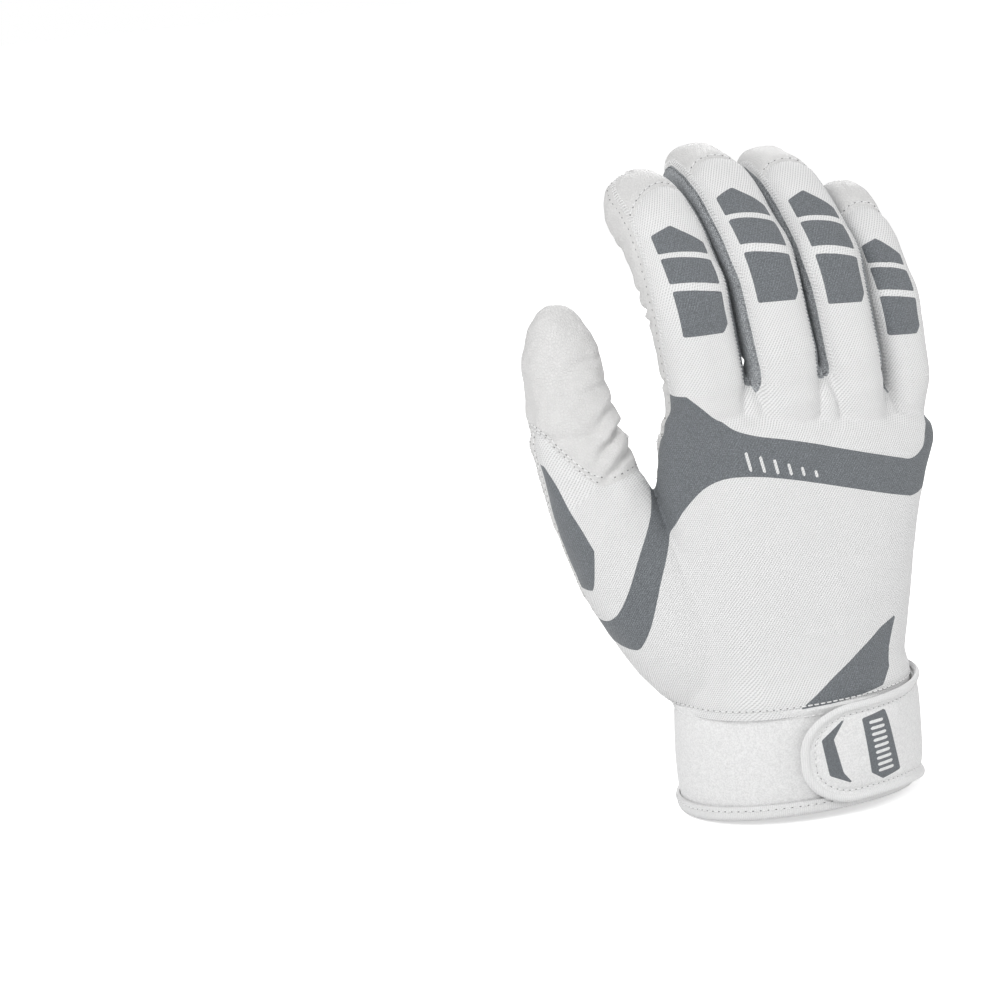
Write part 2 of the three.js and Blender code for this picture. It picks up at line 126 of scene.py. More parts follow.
def waves(points: Array, size: float, seed: int, layers: int = 7) -> Array:
    """Smooth seeded noise, from -1 to 1.

    Args:
        points: Places, one row each, in millimetres.
        size: The width of one wave in millimetres.
        seed: The seed of the wave directions.
        layers: How many plane waves are summed.

    Returns:
        One value for each place.
    """
    rng = np.random.default_rng(seed)
    total = np.zeros(len(points))
    for _ in range(layers):
        way = rng.normal(size=3)
        way /= np.linalg.norm(way)
        pitch = size * rng.uniform(0.7, 1.5)
        total += np.sin(points @ way * (2 * math.pi / pitch) + rng.uniform(0, 2 * math.pi))
    return total / math.sqrt(2 * layers)


def inside(points: Array, outline: Outline, rounding: float = 0.0) -> Array:
    """Depth of flat points inside a polygon, with rounded corners.

    Args:
        points: One row of two values for each point.
        outline: The polygon's corners.
        rounding: The polygon grows by this, with round corners.

    Returns:
        Distances, positive inside.
    """
    corners = np.array(outline, float)
    best = np.full(len(points), np.inf)
    within = np.zeros(len(points), bool)
    for here, there in zip(corners, np.roll(corners, -1, axis=0)):
        edge = there - here
        from_here = points - here
        share = np.clip(from_here @ edge / (edge @ edge), 0, 1)
        best = np.minimum(best, np.linalg.norm(from_here - share[:, None] * edge, axis=1))
        rising = (here[1] <= points[:, 1]) != (there[1] <= points[:, 1])
        side = from_here[:, 1] * edge[0] / np.where(edge[1] == 0, 1e-9, edge[1]) - from_here[:, 0]
        within ^= rising & (side > 0)
    return np.where(within, best, -best) + rounding


def curve_through(points: Outline, steps: int) -> list[tuple[float, float]]:
    """A smooth line through a few points, with the given steps between each two."""
    table = np.array([points[0], *points, points[-1]], float)
    line = []
    for a, b, c, d in zip(table, table[1:], table[2:], table[3:]):
        for number in range(steps):
            t = number / steps
            bend = 2 * b + (c - a) * t + (2 * a - 5 * b + 4 * c - d) * t ** 2
            line.append(tuple((bend + (3 * b - a - 3 * c + d) * t ** 3) / 2))
    return [*line, tuple(table[-1])]


# Small steps on meshes


def mesh_data(mesh: BMesh, name: str) -> Mesh:
    """Turns a mesh under construction into mesh data, and frees it."""
    data = bpy.data.meshes.new(name)
    mesh.to_mesh(data)
    mesh.free()
    return data


def in_scene(name: str, data: bpy.types.ID) -> bpy.types.Object:
    """A new object of the scene that holds the data."""
    made = bpy.data.objects.new(name, data)
    bpy.context.scene.collection.objects.link(made)
    return made


def evaluated(holder: bpy.types.Object) -> Mesh:
    """A new mesh of an object as its modifiers leave it."""
    graph = bpy.context.evaluated_depsgraph_get()
    return bpy.data.meshes.new_from_object(holder.evaluated_get(graph))


def oval(
    mesh: BMesh, capped: bool, segments: int, roundness: float,
    place: Callable[[float, float], Vector],
) -> list:
    """Adds a rounded ring to a mesh.

    Args:
        mesh: The mesh that gets the ring.
        capped: Whether the ring is filled.
        segments: The number of its corners.
        roundness: 2 for an ellipse, more for a squarer ring.
        place: Where a corner goes, from its two values of -1 to 1.

    Returns:
        The ring's edges.
    """
    made = bmesh.ops.create_circle(mesh, cap_ends=capped, segments=segments, radius=1.0)
    power = 2.0 / roundness
    for vert in made["verts"]:
        vert.co = place(*[math.copysign(abs(value) ** power, value) for value in vert.co.xy])
    ring = set(made["verts"])
    return [edge for edge in mesh.edges if edge.verts[0] in ring and edge.verts[1] in ring]


def bridged(ring: Callable[[BMesh, float, bool], list], places: Sequence[float]) -> Mesh:
    """A closed tube through the rings that a function makes at each place."""
    mesh = bmesh.new()
    before: list = []
    for number, place in enumerate(places):
        edges = ring(mesh, place, number in (0, len(places) - 1))
        if before:
            bmesh.ops.bridge_loops(mesh, edges=before + edges)
        before = edges
    bmesh.ops.recalc_face_normals(mesh, faces=mesh.faces)
    return mesh_data(mesh, "tube")


def write_fields(mesh: BMesh, fields: dict[str, Array]) -> None:
    """Stores fields as float layers on a mesh's corners."""
    for name, values in fields.items():
        layer = mesh.verts.layers.float.new(name)
        for vert, value in zip(mesh.verts, values):
            vert[layer] = float(value)


def drop_fields(mesh: BMesh, names: Iterable[str]) -> None:
    """Removes float layers from a mesh's corners."""
    for name in names:
        mesh.verts.layers.float.remove(mesh.verts.layers.float[name])


def drop_faces(mesh: BMesh, unwanted: Callable[[bmesh.types.BMFace], bool]) -> None:
    """Deletes the faces that a test names."""
    bmesh.ops.delete(mesh, geom=[face for face in mesh.faces if unwanted(face)], context="FACES")


# Sleeves: the curved centre lines of the fingers and the thumb


@dataclass
class Sleeve:
    """A curved tube of skin with an oval section."""

    foot: tuple[float, float, float]
    length: float
    low: float = -26.0
    step: float = 0.5
    roundness: float = 2.4
    rings: int = 40
    segments: int = 40
    tip_density: float = 1.6
    places: Array = field(init=False)
    centres: Array = field(init=False)
    alongs: Array = field(init=False)
    acrosses: Array = field(init=False)
    fronts: Array = field(init=False)

    def __post_init__(self) -> None:
        """Samples the centre line by adding up its directions."""
        self.places = np.arange(self.low, self.length + self.step, self.step)
        self.alongs = np.array([self.direction(at) for at in self.places])
        run = np.cumsum(self.alongs, axis=0) * self.step
        zero = int(round(-self.low / self.step))
        self.centres = run - run[zero] + np.array(self.foot)
        self.acrosses, self.fronts = self.axes()

    def direction(self, at: float) -> Array:
        """The way the centre line runs at a place."""
        raise NotImplementedError

    def axes(self) -> tuple[Array, Array]:
        """Unit vectors to the little finger and to the palm at each sample."""
        raise NotImplementedError

    def half(self, at: Array) -> tuple[Array, Array]:
        """Half width and half depth at places on the centre line."""
        raise NotImplementedError

    def local(self, points: Array) -> tuple[Array, Array, Array]:
        """Place along, across and to the front of the centre line, for each point."""
        nearest = np.zeros(len(points), int)
        chunk = 20000
        for start in range(0, len(points), chunk):
            part = points[start:start + chunk]
            gap = ((part[:, None, :] - self.centres[None, ::2, :]) ** 2).sum(2)
            nearest[start:start + chunk] = gap.argmin(1) * 2
        place = self.places[np.clip(nearest, 0, len(self.places) - 1)]
        for _ in range(4):
            centre, along, across, front = (self.between(table, place) for table in self.tables())
            offset = points - centre
            place = np.clip(place + np.einsum("ij,ij->i", offset, along), self.low, self.length)
        centre, along = self.between(self.centres, place), self.between(self.alongs, place)
        rest = np.einsum("ij,ij->i", points - centre, along)
        ahead = (place >= self.length) | (place <= self.low)
        place = place + np.where(ahead, rest, 0.0)
        return place, np.einsum("ij,ij->i", offset, across), np.einsum("ij,ij->i", offset, front)

    def tables(self) -> tuple[Array, Array, Array, Array]:
        """The sampled centres, directions, across and front vectors."""
        return self.centres, self.alongs, self.acrosses, self.fronts

    def between(self, table: Array, place: Array) -> Array:
        """A sampled table's rows at places between its samples."""
        return np.stack([np.interp(place, self.places, table[:, k]) for k in range(3)], axis=1)

    def at(self, place: float) -> tuple[Array, Array, Array, Array]:
        """Centre, direction, across and front vectors at one place."""
        row = int(np.clip(round((place - self.low) / self.step), 0, len(self.places) - 1))
        return self.centres[row], self.alongs[row], self.acrosses[row], self.fronts[row]

    def ring(self, mesh: BMesh, place: float, capped: bool) -> list:
        """Adds one oval ring of the tube to a mesh and returns its edges."""
        centre, _, across, front = self.at(place)
        wide, deep = (float(size[0]) for size in self.half(np.array([place])))
        return oval(
            mesh, capped, self.segments, self.roundness,
            lambda a, f: Vector(centre + across * (a * wide) + front * (f * deep)),
        )

    def tube(self, start: float, end: float) -> Mesh:
        """A closed tube of skin between two places, denser towards its end."""
        shares = [number / (self.rings - 1) for number in range(self.rings)]
        places = [start + (end - start) * (1 - (1 - share) ** self.tip_density) for share in shares]
        return bridged(self.ring, places)


def dome(left: Array, reach: float) -> Array:
    """How a tube narrows over its rounded end."""
    return np.sqrt(np.clip(1 - (1 - np.clip(left / reach, 0, 1)) ** 2, 0, 1))


@dataclass
class FingerSleeve(Sleeve):
    """A finger's sleeve, which curls towards the palm at two joints."""

    # How full the finger is at shares of its length.
    taper: ClassVar[Outline] = (
        (-0.3, 0.92), (0.0, 0.98), (0.18, 0.985), (0.35, 0.995), (0.5, 0.98), (0.68, 0.97), (0.84, 0.92),
        (1.0, 0.84),
    )

    width: float = 20.0
    depth: float = 20.0
    lean: float = 0.0
    curl: tuple[float, float, float] = (0.0, 30.0, 30.0)
    root_lean: float = 0.0
    bend_shares: tuple[float, float] = (0.35, 0.68)
    bend_reach_share: float = 0.13

    def turn(self, at: Array | float) -> Array:
        """The curl in radians at a place."""
        total = self.curl[0]
        for place, angle in zip(self.bend_shares, self.curl[1:]):
            reach = self.bend_reach_share
            total = total + angle * smooth((np.asarray(at) / self.length - place + reach) / (2 * reach))
        return np.radians(total)

    def up(self) -> Array:
        """The way the straight finger points."""
        lean = math.radians(self.lean)
        return np.array([math.sin(lean), 0.0, math.cos(lean)])

    def direction(self, at: float) -> Array:
        """The way the centre line runs at a place."""
        if at < 0:
            root = math.radians(self.root_lean)
            return np.array([math.sin(root), 0.0, math.cos(root)])
        turn = float(self.turn(at))
        return self.up() * math.cos(turn) + np.array([0.0, 1.0, 0.0]) * math.sin(turn)

    def axes(self) -> tuple[Array, Array]:
        """Unit vectors to the little finger and to the palm at each sample."""
        turn = self.turn(self.places)[:, None] * (self.places[:, None] >= 0)
        level = np.array([0.0, 1.0, 0.0])
        across = np.tile(-np.cross(self.up(), level), (len(self.places), 1))
        return across, level * np.cos(turn) - self.up() * np.sin(turn)

    def half(self, at: Array) -> tuple[Array, Array]:
        """Half width and half depth at places on the centre line."""
        taper = np.interp(at / self.length, *np.array(self.taper).T)
        taper = taper * dome(self.length - at, self.width * 0.6)
        least = 0.3
        return np.maximum(self.width / 2 * taper, least), np.maximum(self.depth / 2 * taper, least)


@dataclass
class ThumbSleeve(Sleeve):
    """The thumb's sleeve, which grows out of the side of the palm and turns upright."""

    # How far the thumb swells beyond its tip at shares of its length.
    swells: ClassVar[Outline] = (
        (0, 1), (0.16, 0.86), (0.42, 0.55), (0.62, 0.375), (0.72, 0.27), (0.82, 0.15), (1, 0),
    )

    low: float = 0.0
    start_degrees: float = 56.0
    lean_back_degrees: float = -34.0
    settle: float = 120.0
    front_degrees: float = 5.5
    half_width: float = 21.5
    tip_half_width: float = 9.5
    depth_share: float = 0.93
    dome_reach: float = 17.5

    def direction(self, at: float) -> Array:
        """The way the centre line runs at a place."""
        fade = math.exp(-at / self.settle)
        angle = math.radians(self.lean_back_degrees + (self.start_degrees - self.lean_back_degrees) * fade)
        way = np.array([-math.sin(angle), math.tan(math.radians(self.front_degrees)), math.cos(angle)])
        return way / np.linalg.norm(way)

    def axes(self) -> tuple[Array, Array]:
        """Unit vectors to the little finger and to the palm at each sample."""
        thumbward = np.cross(self.alongs, np.array([0.0, 1.0, 0.0]))
        thumbward /= np.linalg.norm(thumbward, axis=1)[:, None]
        return -thumbward, np.cross(thumbward, self.alongs)

    def half(self, at: Array) -> tuple[Array, Array]:
        """Half width and half depth at places on the centre line."""
        swell = np.interp(at / self.length, *np.array(self.swells).T)
        size = self.tip_half_width + (self.half_width - self.tip_half_width) * swell
        size = np.maximum(size * dome(self.length - at, self.dome_reach), 0.3)
        return size, size * self.depth_share


@dataclass
class Hand:
    """The sizes of the hand that fills the glove."""

    cuff_height: float = 34.0
    palm_length: float = 99.7
    half_breadth: float = 42.8
    half_depth: float = 16.5
    drift: float = 9.8
    roundness: float = 2.35
    slope: float = 0.15
    wrist_drop: float = 8.0
    palm_rings: int = 34
    palm_segments: int = 72
    voxel: float = 0.6
    quick_coarseness: float = 1.8
    smooth_passes: int = 7
    finger_low: float = -24.0
    thumb_low: float = 8.0
    tip_share: float = 0.998
    crotch_tops: tuple[float, float, float] = (127.5, 128.5, 119.5)
    crotch_size: tuple[float, float, float] = (5.0, 9.6, 17.0)
    crotch_fill: float = 2.5
    finger_gap: float = 1.8
    sleeves: dict[str, FingerSleeve] = field(init=False)
    thumb: ThumbSleeve = field(init=False)

    # Height, drift, half width and half depth of the palm's rings, as shares of its own sizes.
    ring_shares: tuple[tuple[float, float, float, float], ...] = (
        (0, 0, 0.845, 1.68), (0.04, -0.02, 0.84, 1.62), (0.08, -0.05, 0.82, 1.5), (0.16, 0.02, 0.85, 1.38),
        (0.26, 0.1, 0.885, 1.28), (0.46, 0.3, 0.94, 1.16), (0.64, 0.5, 1.0, 1.06), (0.75, 0.735, 1.02, 0.98),
        (0.8, 0.82, 1.0, 0.86), (0.83, 0.8, 0.944, 0.6),
    )

    def __post_init__(self) -> None:
        """Sets the four fingers and the thumb on the palm."""
        top = self.cuff_height + self.palm_length
        self.sleeves = {
            "index": FingerSleeve((-21, 0.5, top - 3.9), 73, width=24, depth=21.4, lean=-6, curl=(3, 30, 30)),
            "middle": FingerSleeve((2.3, -3, top), 83, width=21.6, depth=20.6, lean=-5.5, curl=(10, 35, 30)),
            "ring": FingerSleeve(
                (24.2, -2.5, top - 2.9), 82, width=20.2, depth=19.4, lean=-5, curl=(8, 36, 30),
            ),
            "little": FingerSleeve(
                (44.4, 4, top - 11.8), 67, width=17.6, depth=17.4, lean=-5, curl=(2, 27, 27), root_lean=13,
            ),
        }
        self.thumb = ThumbSleeve((-15.5, 4, self.cuff_height + 10), 126)

    def section(self, share: Array | float) -> tuple[Array, Array, Array]:
        """Middle, half width and half depth of the palm at a share of its length."""
        table = np.array(self.ring_shares)
        drift, width, depth = (np.interp(share, table[:, 0], table[:, k]) for k in (1, 2, 3))
        return self.drift * drift, self.half_breadth * width, self.half_depth * depth

    def each(self, name: str) -> Array:
        """One size of the four fingers, from the index finger to the little finger."""
        return np.array([getattr(sleeve, name) for sleeve in self.sleeves.values()])

    def palm_ring(self, mesh: BMesh, share: float, capped: bool) -> list:
        """Adds one ring of the palm to a mesh and returns its edges."""
        middle, wide, deep = (float(size) for size in self.section(share))
        height = self.cuff_height + self.palm_length * share
        lean = self.slope * float(smooth((share - 0.5) / 0.33))
        return oval(
            mesh, capped, self.palm_segments, self.roundness,
            lambda x, y: Vector((middle + x * wide, y * deep, height - lean * (x * wide))),
        )

    def palm(self) -> Mesh:
        """The closed body of the palm, from just below the cuff's top to the finger feet."""
        low = -self.wrist_drop / self.palm_length
        return bridged(self.palm_ring, np.linspace(low, self.ring_shares[-1][0], self.palm_rings).tolist())

    def crotches(self) -> list[Mesh]:
        """A rounded filler between the feet of each two fingers."""
        feet = self.each("foot")
        made = []
        for middle, top in zip((feet[:-1] + feet[1:]) / 2, self.crotch_tops):
            mesh = bmesh.new()
            bmesh.ops.create_uvsphere(mesh, u_segments=24, v_segments=16, radius=1.0)
            bmesh.ops.scale(mesh, verts=mesh.verts, vec=self.crotch_size)
            height = top + self.crotch_fill - self.crotch_size[2]
            bmesh.ops.translate(mesh, verts=mesh.verts, vec=(middle[0], middle[1], height))
            made.append(mesh_data(mesh, "crotch"))
        return made

    def part_fingers(self, tubes: list[Mesh]) -> None:
        """Draws in the fingers' sides where two all but touch, so that their skins stay apart.

        Args:
            tubes: The fingers' tubes, from the index finger to the little finger.
        """
        sleeves = list(self.sleeves.values())
        points = [np.array([vert.co for vert in tube.vertices]) for tube in tubes]
        shifts = [np.zeros_like(table) for table in points]
        least = 0.1
        for left, top in enumerate(self.crotch_tops):
            for own, other in ((left, left + 1), (left + 1, left)):
                sleeve = sleeves[other]
                place, across, front = sleeve.local(points[own])
                place = np.clip(place, sleeve.low, sleeve.length)
                wide, deep = (np.maximum(size, least) for size in sleeve.half(place))
                reach = np.maximum(np.hypot(across, front), least)
                power = sleeve.roundness
                share = ((np.abs(across) / wide) ** power + (np.abs(front) / deep) ** power) ** (1 / power)
                gap = reach - reach / np.maximum(share, least)
                push = np.clip(self.finger_gap - gap, 0, 2 * self.finger_gap) / 2
                push *= smooth((points[own][:, 2] - top) / 3) / reach
                shifts[own] += sleeve.between(sleeve.acrosses, place) * (across * push)[:, None]
                shifts[own] += sleeve.between(sleeve.fronts, place) * (front * push)[:, None]
        for tube, table, shift in zip(tubes, points, shifts):
            tube.vertices.foreach_set("co", (table + shift).ravel())

    def skin(self) -> BMesh:
        """One closed skin round the palm, the fingers and the thumb, in an even mesh."""
        fingers = self.sleeves.values()
        tubes = [finger.tube(self.finger_low, finger.length * self.tip_share) for finger in fingers]
        self.part_fingers(tubes)
        thumb = self.thumb.tube(self.thumb_low, self.thumb.length * self.tip_share)
        whole = bmesh.new()
        for part in (self.palm(), thumb, *self.crotches(), *tubes):
            whole.from_mesh(part)
            bpy.data.meshes.remove(part)
        holder = in_scene("form", mesh_data(whole, "form"))
        remesh = holder.modifiers.new("even", "REMESH")
        remesh.mode = "VOXEL"
        remesh.voxel_size = self.voxel * 1.0
        even = evaluated(holder)
        bpy.data.objects.remove(holder)
        skin = bmesh.new()
        skin.from_mesh(even)
        bpy.data.meshes.remove(even)
        every_way = {f"use_axis_{axis}": True for axis in "xyz"}
        for _ in range(self.smooth_passes):
            bmesh.ops.smooth_vert(skin, verts=skin.verts, factor=0.5, **every_way)
        return skin


# Seams: where the panels end, as depths that are zero on the seam


@dataclass
class SeamPlan:
    """Says for each point of the skin how far it lies from each seam and print."""

    hand: Hand
    mesh_share: float = 0.27
    little_side_line: Outline = ((34, 5.5), (57, 6), (69, 3.1), (81, 0.4), (95, 3.5), (108, 8.7))
    fold_start: dict[str, float] = field(
        default_factory=lambda: {"index": -2.0, "middle": -5.5, "ring": -3.0, "little": -3.0, "thumb": 68.0}
    )
    saddle_depth: float = 8.0
    saddle_mesh: float = 20.0
    # The seam on the thumb's side: its depth at the wrist, its slope, and its course at the web.
    radial_depth: float = 10.6
    radial_slope: float = 0.082
    radial_start: float = -40.0
    web_line: Outline = ((106, 3.8), (110, 3.0), (120, 0.0))
    index_drop: float = 0.5
    little_rise: float = 4.7
    thumb_start: float = 72.5
    thumb_rise: float = 16.0
    thumb_side: float = 14.0
    thumb_reach: float = 11.2
    thumb_power: float = 1.6
    strip_end: float = 0.84
    strip_fade: float = 0.12
    thumb_slant: float = 0.52
    thumb_bend: float = 15.0
    finger_bend: float = 9.0
    near_limit: float = 1.6
    low_limit: float = -20.0
    cap_share: float = 0.745
    cap_bow_share: float = 0.05
    cap_lean_share: float = 0.055
    thenar_line: Outline = (
        (-13.5, 26), (-11.3, 44.6), (-9.3, 60.1), (-7.6, 78.8), (-9.2, 94.3), (-17.6, 107.9), (-30.0, 114.5),
        (-42, 119),
    )
    slit_outline: Outline = ((-0.5, 30), (-0.5, 50), (0.3, 54.5), (1.1, 50), (1.1, 30))

    def fields(self, points: Array) -> dict[str, Array]:
        """All depths at once.

        Args:
            points: Places on the skin, one row each.

        Returns:
            Named arrays of one value for each place.
        """
        names = list(self.hand.sleeves)
        local = {name: sleeve.local(points) for name, sleeve in self.hand.sleeves.items()}
        near = []
        for name in names:
            t, a, f = local[name]
            sizes = self.hand.sleeves[name].half(np.maximum(t, self.low_limit))
            wide, deep = (np.maximum(size, 4) for size in sizes)
            near.append(np.where(t < self.low_limit, 9.0, np.maximum(np.abs(a) / wide, np.abs(f) / deep)))
        near = np.array(near)
        finger = near.argmin(0)
        close = near.min(0) < self.near_limit
        t, a, f = (np.choose(finger, [local[name][k] for name in names]) for k in range(3))
        start = np.choose(finger, [self.fold_start[name] for name in names])
        cut = np.where(close, t - start, self.low_limit)
        thumb_t, thumb_a, thumb_f = self.hand.thumb.local(points)
        thumb_width, _ = self.hand.thumb.half(thumb_t)
        thumb_weight = smooth((thumb_width + 2.0 - thumb_a) / 5.0) * (thumb_t > self.hand.thumb_low)
        start, way = self.thumb_plane()
        front, back = self.hand_seams(points, thumb_t, thumb_a, thumb_weight)
        finger_front, finger_back = self.finger_seams(finger, t, a, f)
        weight = smooth((cut + 4) / 6) * close
        return {
            "cut": cut, "finger": finger.astype(float), "t": t, "a": a, "f": f,
            "thumb_cut": np.minimum((points - start) @ way, (thumb_width + 4.0 - thumb_a) * 2),
            "thumb_t": thumb_t, "thumb_a": thumb_a, "thumb_f": thumb_f, "thumb_weight": thumb_weight,
            "front": mix(front, finger_front, weight), "back": mix(back, finger_back, weight),
            "cap": self.cap_seam(finger, t, a), "thenar": self.thenar_seam(points),
            "foot": points[:, 2] - self.hand.cuff_height, "slit": self.slit(points),
        }

    def thumb_plane(self) -> tuple[Array, Array]:
        """A point on the plane where the moving thumb starts, and the plane's normal."""
        place = self.fold_start["thumb"]
        centre, along, across, _ = self.hand.thumb.at(place)
        way = along - across * self.thumb_slant
        outer = centre - across * self.hand.thumb.half(np.array([place]))[0][0]
        return outer, way / np.linalg.norm(way)

    def hand_seams(self, points: Array, thumb_t: Array, thumb_a: Array, weight: Array) -> tuple[Array, Array]:
        """Depth inside the palm side, and inside the back, below the fingers."""
        x, y, z = points.T
        feet = self.hand.each("foot")
        middle = np.interp(x, feet[:, 0], feet[:, 1])
        half = self.mesh_share * self.saddle_mesh
        gaps = (feet[1:, 0] + feet[:-1, 0]) / 2
        high = smooth((z - np.interp(x, gaps, self.hand.crotch_tops) + self.saddle_depth) / 5)
        crotch = half * smooth((x - feet[0, 0]) / 4) * smooth((feet[3, 0] - x) / 4) * high
        radial = 1 - smooth((x - feet[0, 0] + 8) / 8)
        ulnar = smooth((x - feet[3, 0] + 4) / 8)
        top = middle - radial * self.index_drop + ulnar * self.little_rise
        left_low = self.radial_depth - self.radial_slope * (x - self.radial_start)
        web, right = (np.interp(z, *np.array(line).T) for line in (self.web_line, self.little_side_line))
        left = mix(left_low, web, smooth((z - 90) / 16))
        seam = mix(left, right, smooth((x + 25) / 50))
        seam = mix(seam, top, smooth((z - 108) / 12))
        thumb_back = np.minimum(left_low - y, self.thumb_seam(thumb_a) - thumb_t)
        front = mix(y - seam - crotch, -thumb_back, weight)
        back = mix(seam - crotch - y, thumb_back, weight)
        return front, back

    def thumb_seam(self, thumb_a: Array) -> Array:
        """Where the thumb's leather starts on its back, as a place along the thumb."""
        share = np.clip(-thumb_a, 0, self.thumb_side) / self.thumb_reach
        return self.thumb_start + self.thumb_rise * share ** self.thumb_power

    def finger_seams(self, finger: Array, t: Array, a: Array, f: Array) -> tuple[Array, Array]:
        """Depth inside the front leather, and inside the back, on the fingers."""
        lengths = self.hand.each("length")[finger]
        half = self.mesh_share * self.hand.each("depth")[finger]
        narrow = half * (1 - smooth((t / lengths - self.strip_end) / self.strip_fade))
        radial_leather = (finger == 0) & (a < 0)
        ulnar_knit = (finger == 3) & (a > 0)
        plain = radial_leather | ulnar_knit
        offset = np.where(radial_leather, mix(-0.5, -half, smooth(t / lengths / 0.7)), half)
        rising = mix(offset, 0.0, smooth((t / lengths - 0.6) / 0.3) * ulnar_knit)
        front = np.where(plain, f - rising, f - narrow)
        back = np.where(plain, rising - f, -narrow - f)
        return front, back

    def cap_seam(self, finger: Array, t: Array, a: Array) -> Array:
        """Depth beyond the seam of the tip cap."""
        side = np.clip(a / (self.hand.each("width")[finger] / 2), -1, 1)
        lean = np.where(finger == 0, self.cap_lean_share * side, 0.0)
        return t - self.hand.each("length")[finger] * (self.cap_share - self.cap_bow_share * side ** 2 + lean)

    def thenar_seam(self, points: Array) -> Array:
        """Depth inside the leather over the ball of the thumb."""
        line = curve_through(self.thenar_line, 6)
        beyond = ((-120, line[-1][1]), (-120, line[0][1]))
        return inside(points[:, [0, 2]], [*line, *beyond])

    def slit(self, points: Array) -> Array:
        """Depth inside the open slit at the wrist, on the little finger's side."""
        x, y, z = points.T
        return np.where(x > 20, inside(np.stack([y, z], axis=1), self.slit_outline, 0.2), -9.0)


@dataclass
class Prints:
    """The printed shapes on the back of the hand and on the fingers."""

    hand: Hand
    band: Outline = (
        (-33.5, 131), (-27.5, 124.6), (-21, 118), (-14.5, 114.6), (1, 110.6), (30.4, 101.8), (38.2, 99.8),
        (43.4, 102.4), (47, 109), (60, 112), (60, 88), (46, 90.5), (38.5, 89.6), (31.9, 91.0), (-0.5, 100.6),
        (-18, 104), (-27.5, 102.4), (-33.8, 96.2), (-37.6, 88), (-44.0, 73.7), (-48.4, 58.9), (-50.6, 55.2),
        (-57, 60), (-54.3, 66), (-49.0, 80.3), (-42.2, 94), (-38.4, 106.9), (-36.8, 115), (-35, 123),
    )
    wedge: Outline = (
        (26.8, 54.5), (23.2, 46.6), (22.0, 41), (18, 37.0), (6.2, 35.6), (-9, 34.8), (7.7, 44.6),
        (21.2, 52.4),
    )
    stripe: Outline = (
        (-90, 121), (-70, 110.5), (-65.5, 97.5), (-60.6, 86), (-60.4, 73.6), (-68, 70), (-90, 76),
    )
    stripe_inset: float = 3.0
    bar_count: int = 6
    bar_start: tuple[float, float] = (-15.6, 107.6)
    bar_step: tuple[float, float] = (4.05, -1.25)
    bar_height: float = 5.4
    bar_shrink: float = 0.72
    bar_lean: float = 0.16
    bar_half: float = 0.26
    # A finger's facets, drawn on a finger 20 wide and 80 long.
    facets: tuple[Outline, ...] = (
        ((-5.6, 17.5), (4.0, 16.0), (5.6, 18), (5.6, 26.0), (-5.6, 28.5)),
        ((-5.6, 31.0), (5.6, 28.5), (5.6, 34.0), (-5.6, 37.5)),
        ((-5.6, 40.0), (5.6, 36.5), (5.6, 40.0), (-1.0, 47.0), (-5.6, 46.0)),
    )

    def fields(self, points: Array, seams: dict[str, Array]) -> dict[str, Array]:
        """Depth inside each print, positive within, for each place on the skin."""
        x, y, z = points.T
        flat = np.stack([x, z], axis=1)
        band = inside(flat, curve_through([*self.band, self.band[0]], 4)[:-1], 0.5)
        for number in range(self.bar_count):
            centre = np.array(self.bar_start) + np.array(self.bar_step) * number
            lean = np.array([self.bar_lean, -1.0]) * (self.bar_height - self.bar_shrink * number) / 2
            aside = np.array([self.bar_half, 0.0])
            bar = [centre + lean + aside, centre + lean - aside, centre - lean - aside, centre - lean + aside]
            band = np.minimum(band, -inside(flat, bar, 0.2))
        stripe = np.where(y < 14, inside(flat, self.stripe, 0.5), -9.0)
        leather = SeamPlan(self.hand).thumb_seam(seams["thumb_a"]) - self.stripe_inset
        stripe = np.minimum(stripe, leather - seams["thumb_t"])
        wedge = inside(flat, self.wedge, 0.4)
        return {
            "print_hand": np.where(y < 12, np.maximum(np.maximum(band, wedge), stripe), -9.0),
            "print_finger": self.knuckle(seams),
        }

    def knuckle(self, seams: dict[str, Array]) -> Array:
        """Three plain slanted blocks on the back of each finger."""
        finger = seams["finger"].astype(int)
        half_widths, lengths = self.hand.each("width")[finger] / 2, self.hand.each("length")[finger]
        flat = np.stack([seams["a"] / half_widths * 10, seams["t"] / lengths * 80], axis=1)
        deep = np.max([inside(flat, facet, 0.35) for facet in self.facets], axis=0)
        return np.where(seams["f"] < 0, np.maximum(deep, -9.0), -9.0)


# The relief of the skin: seams drawn in, creases, folds


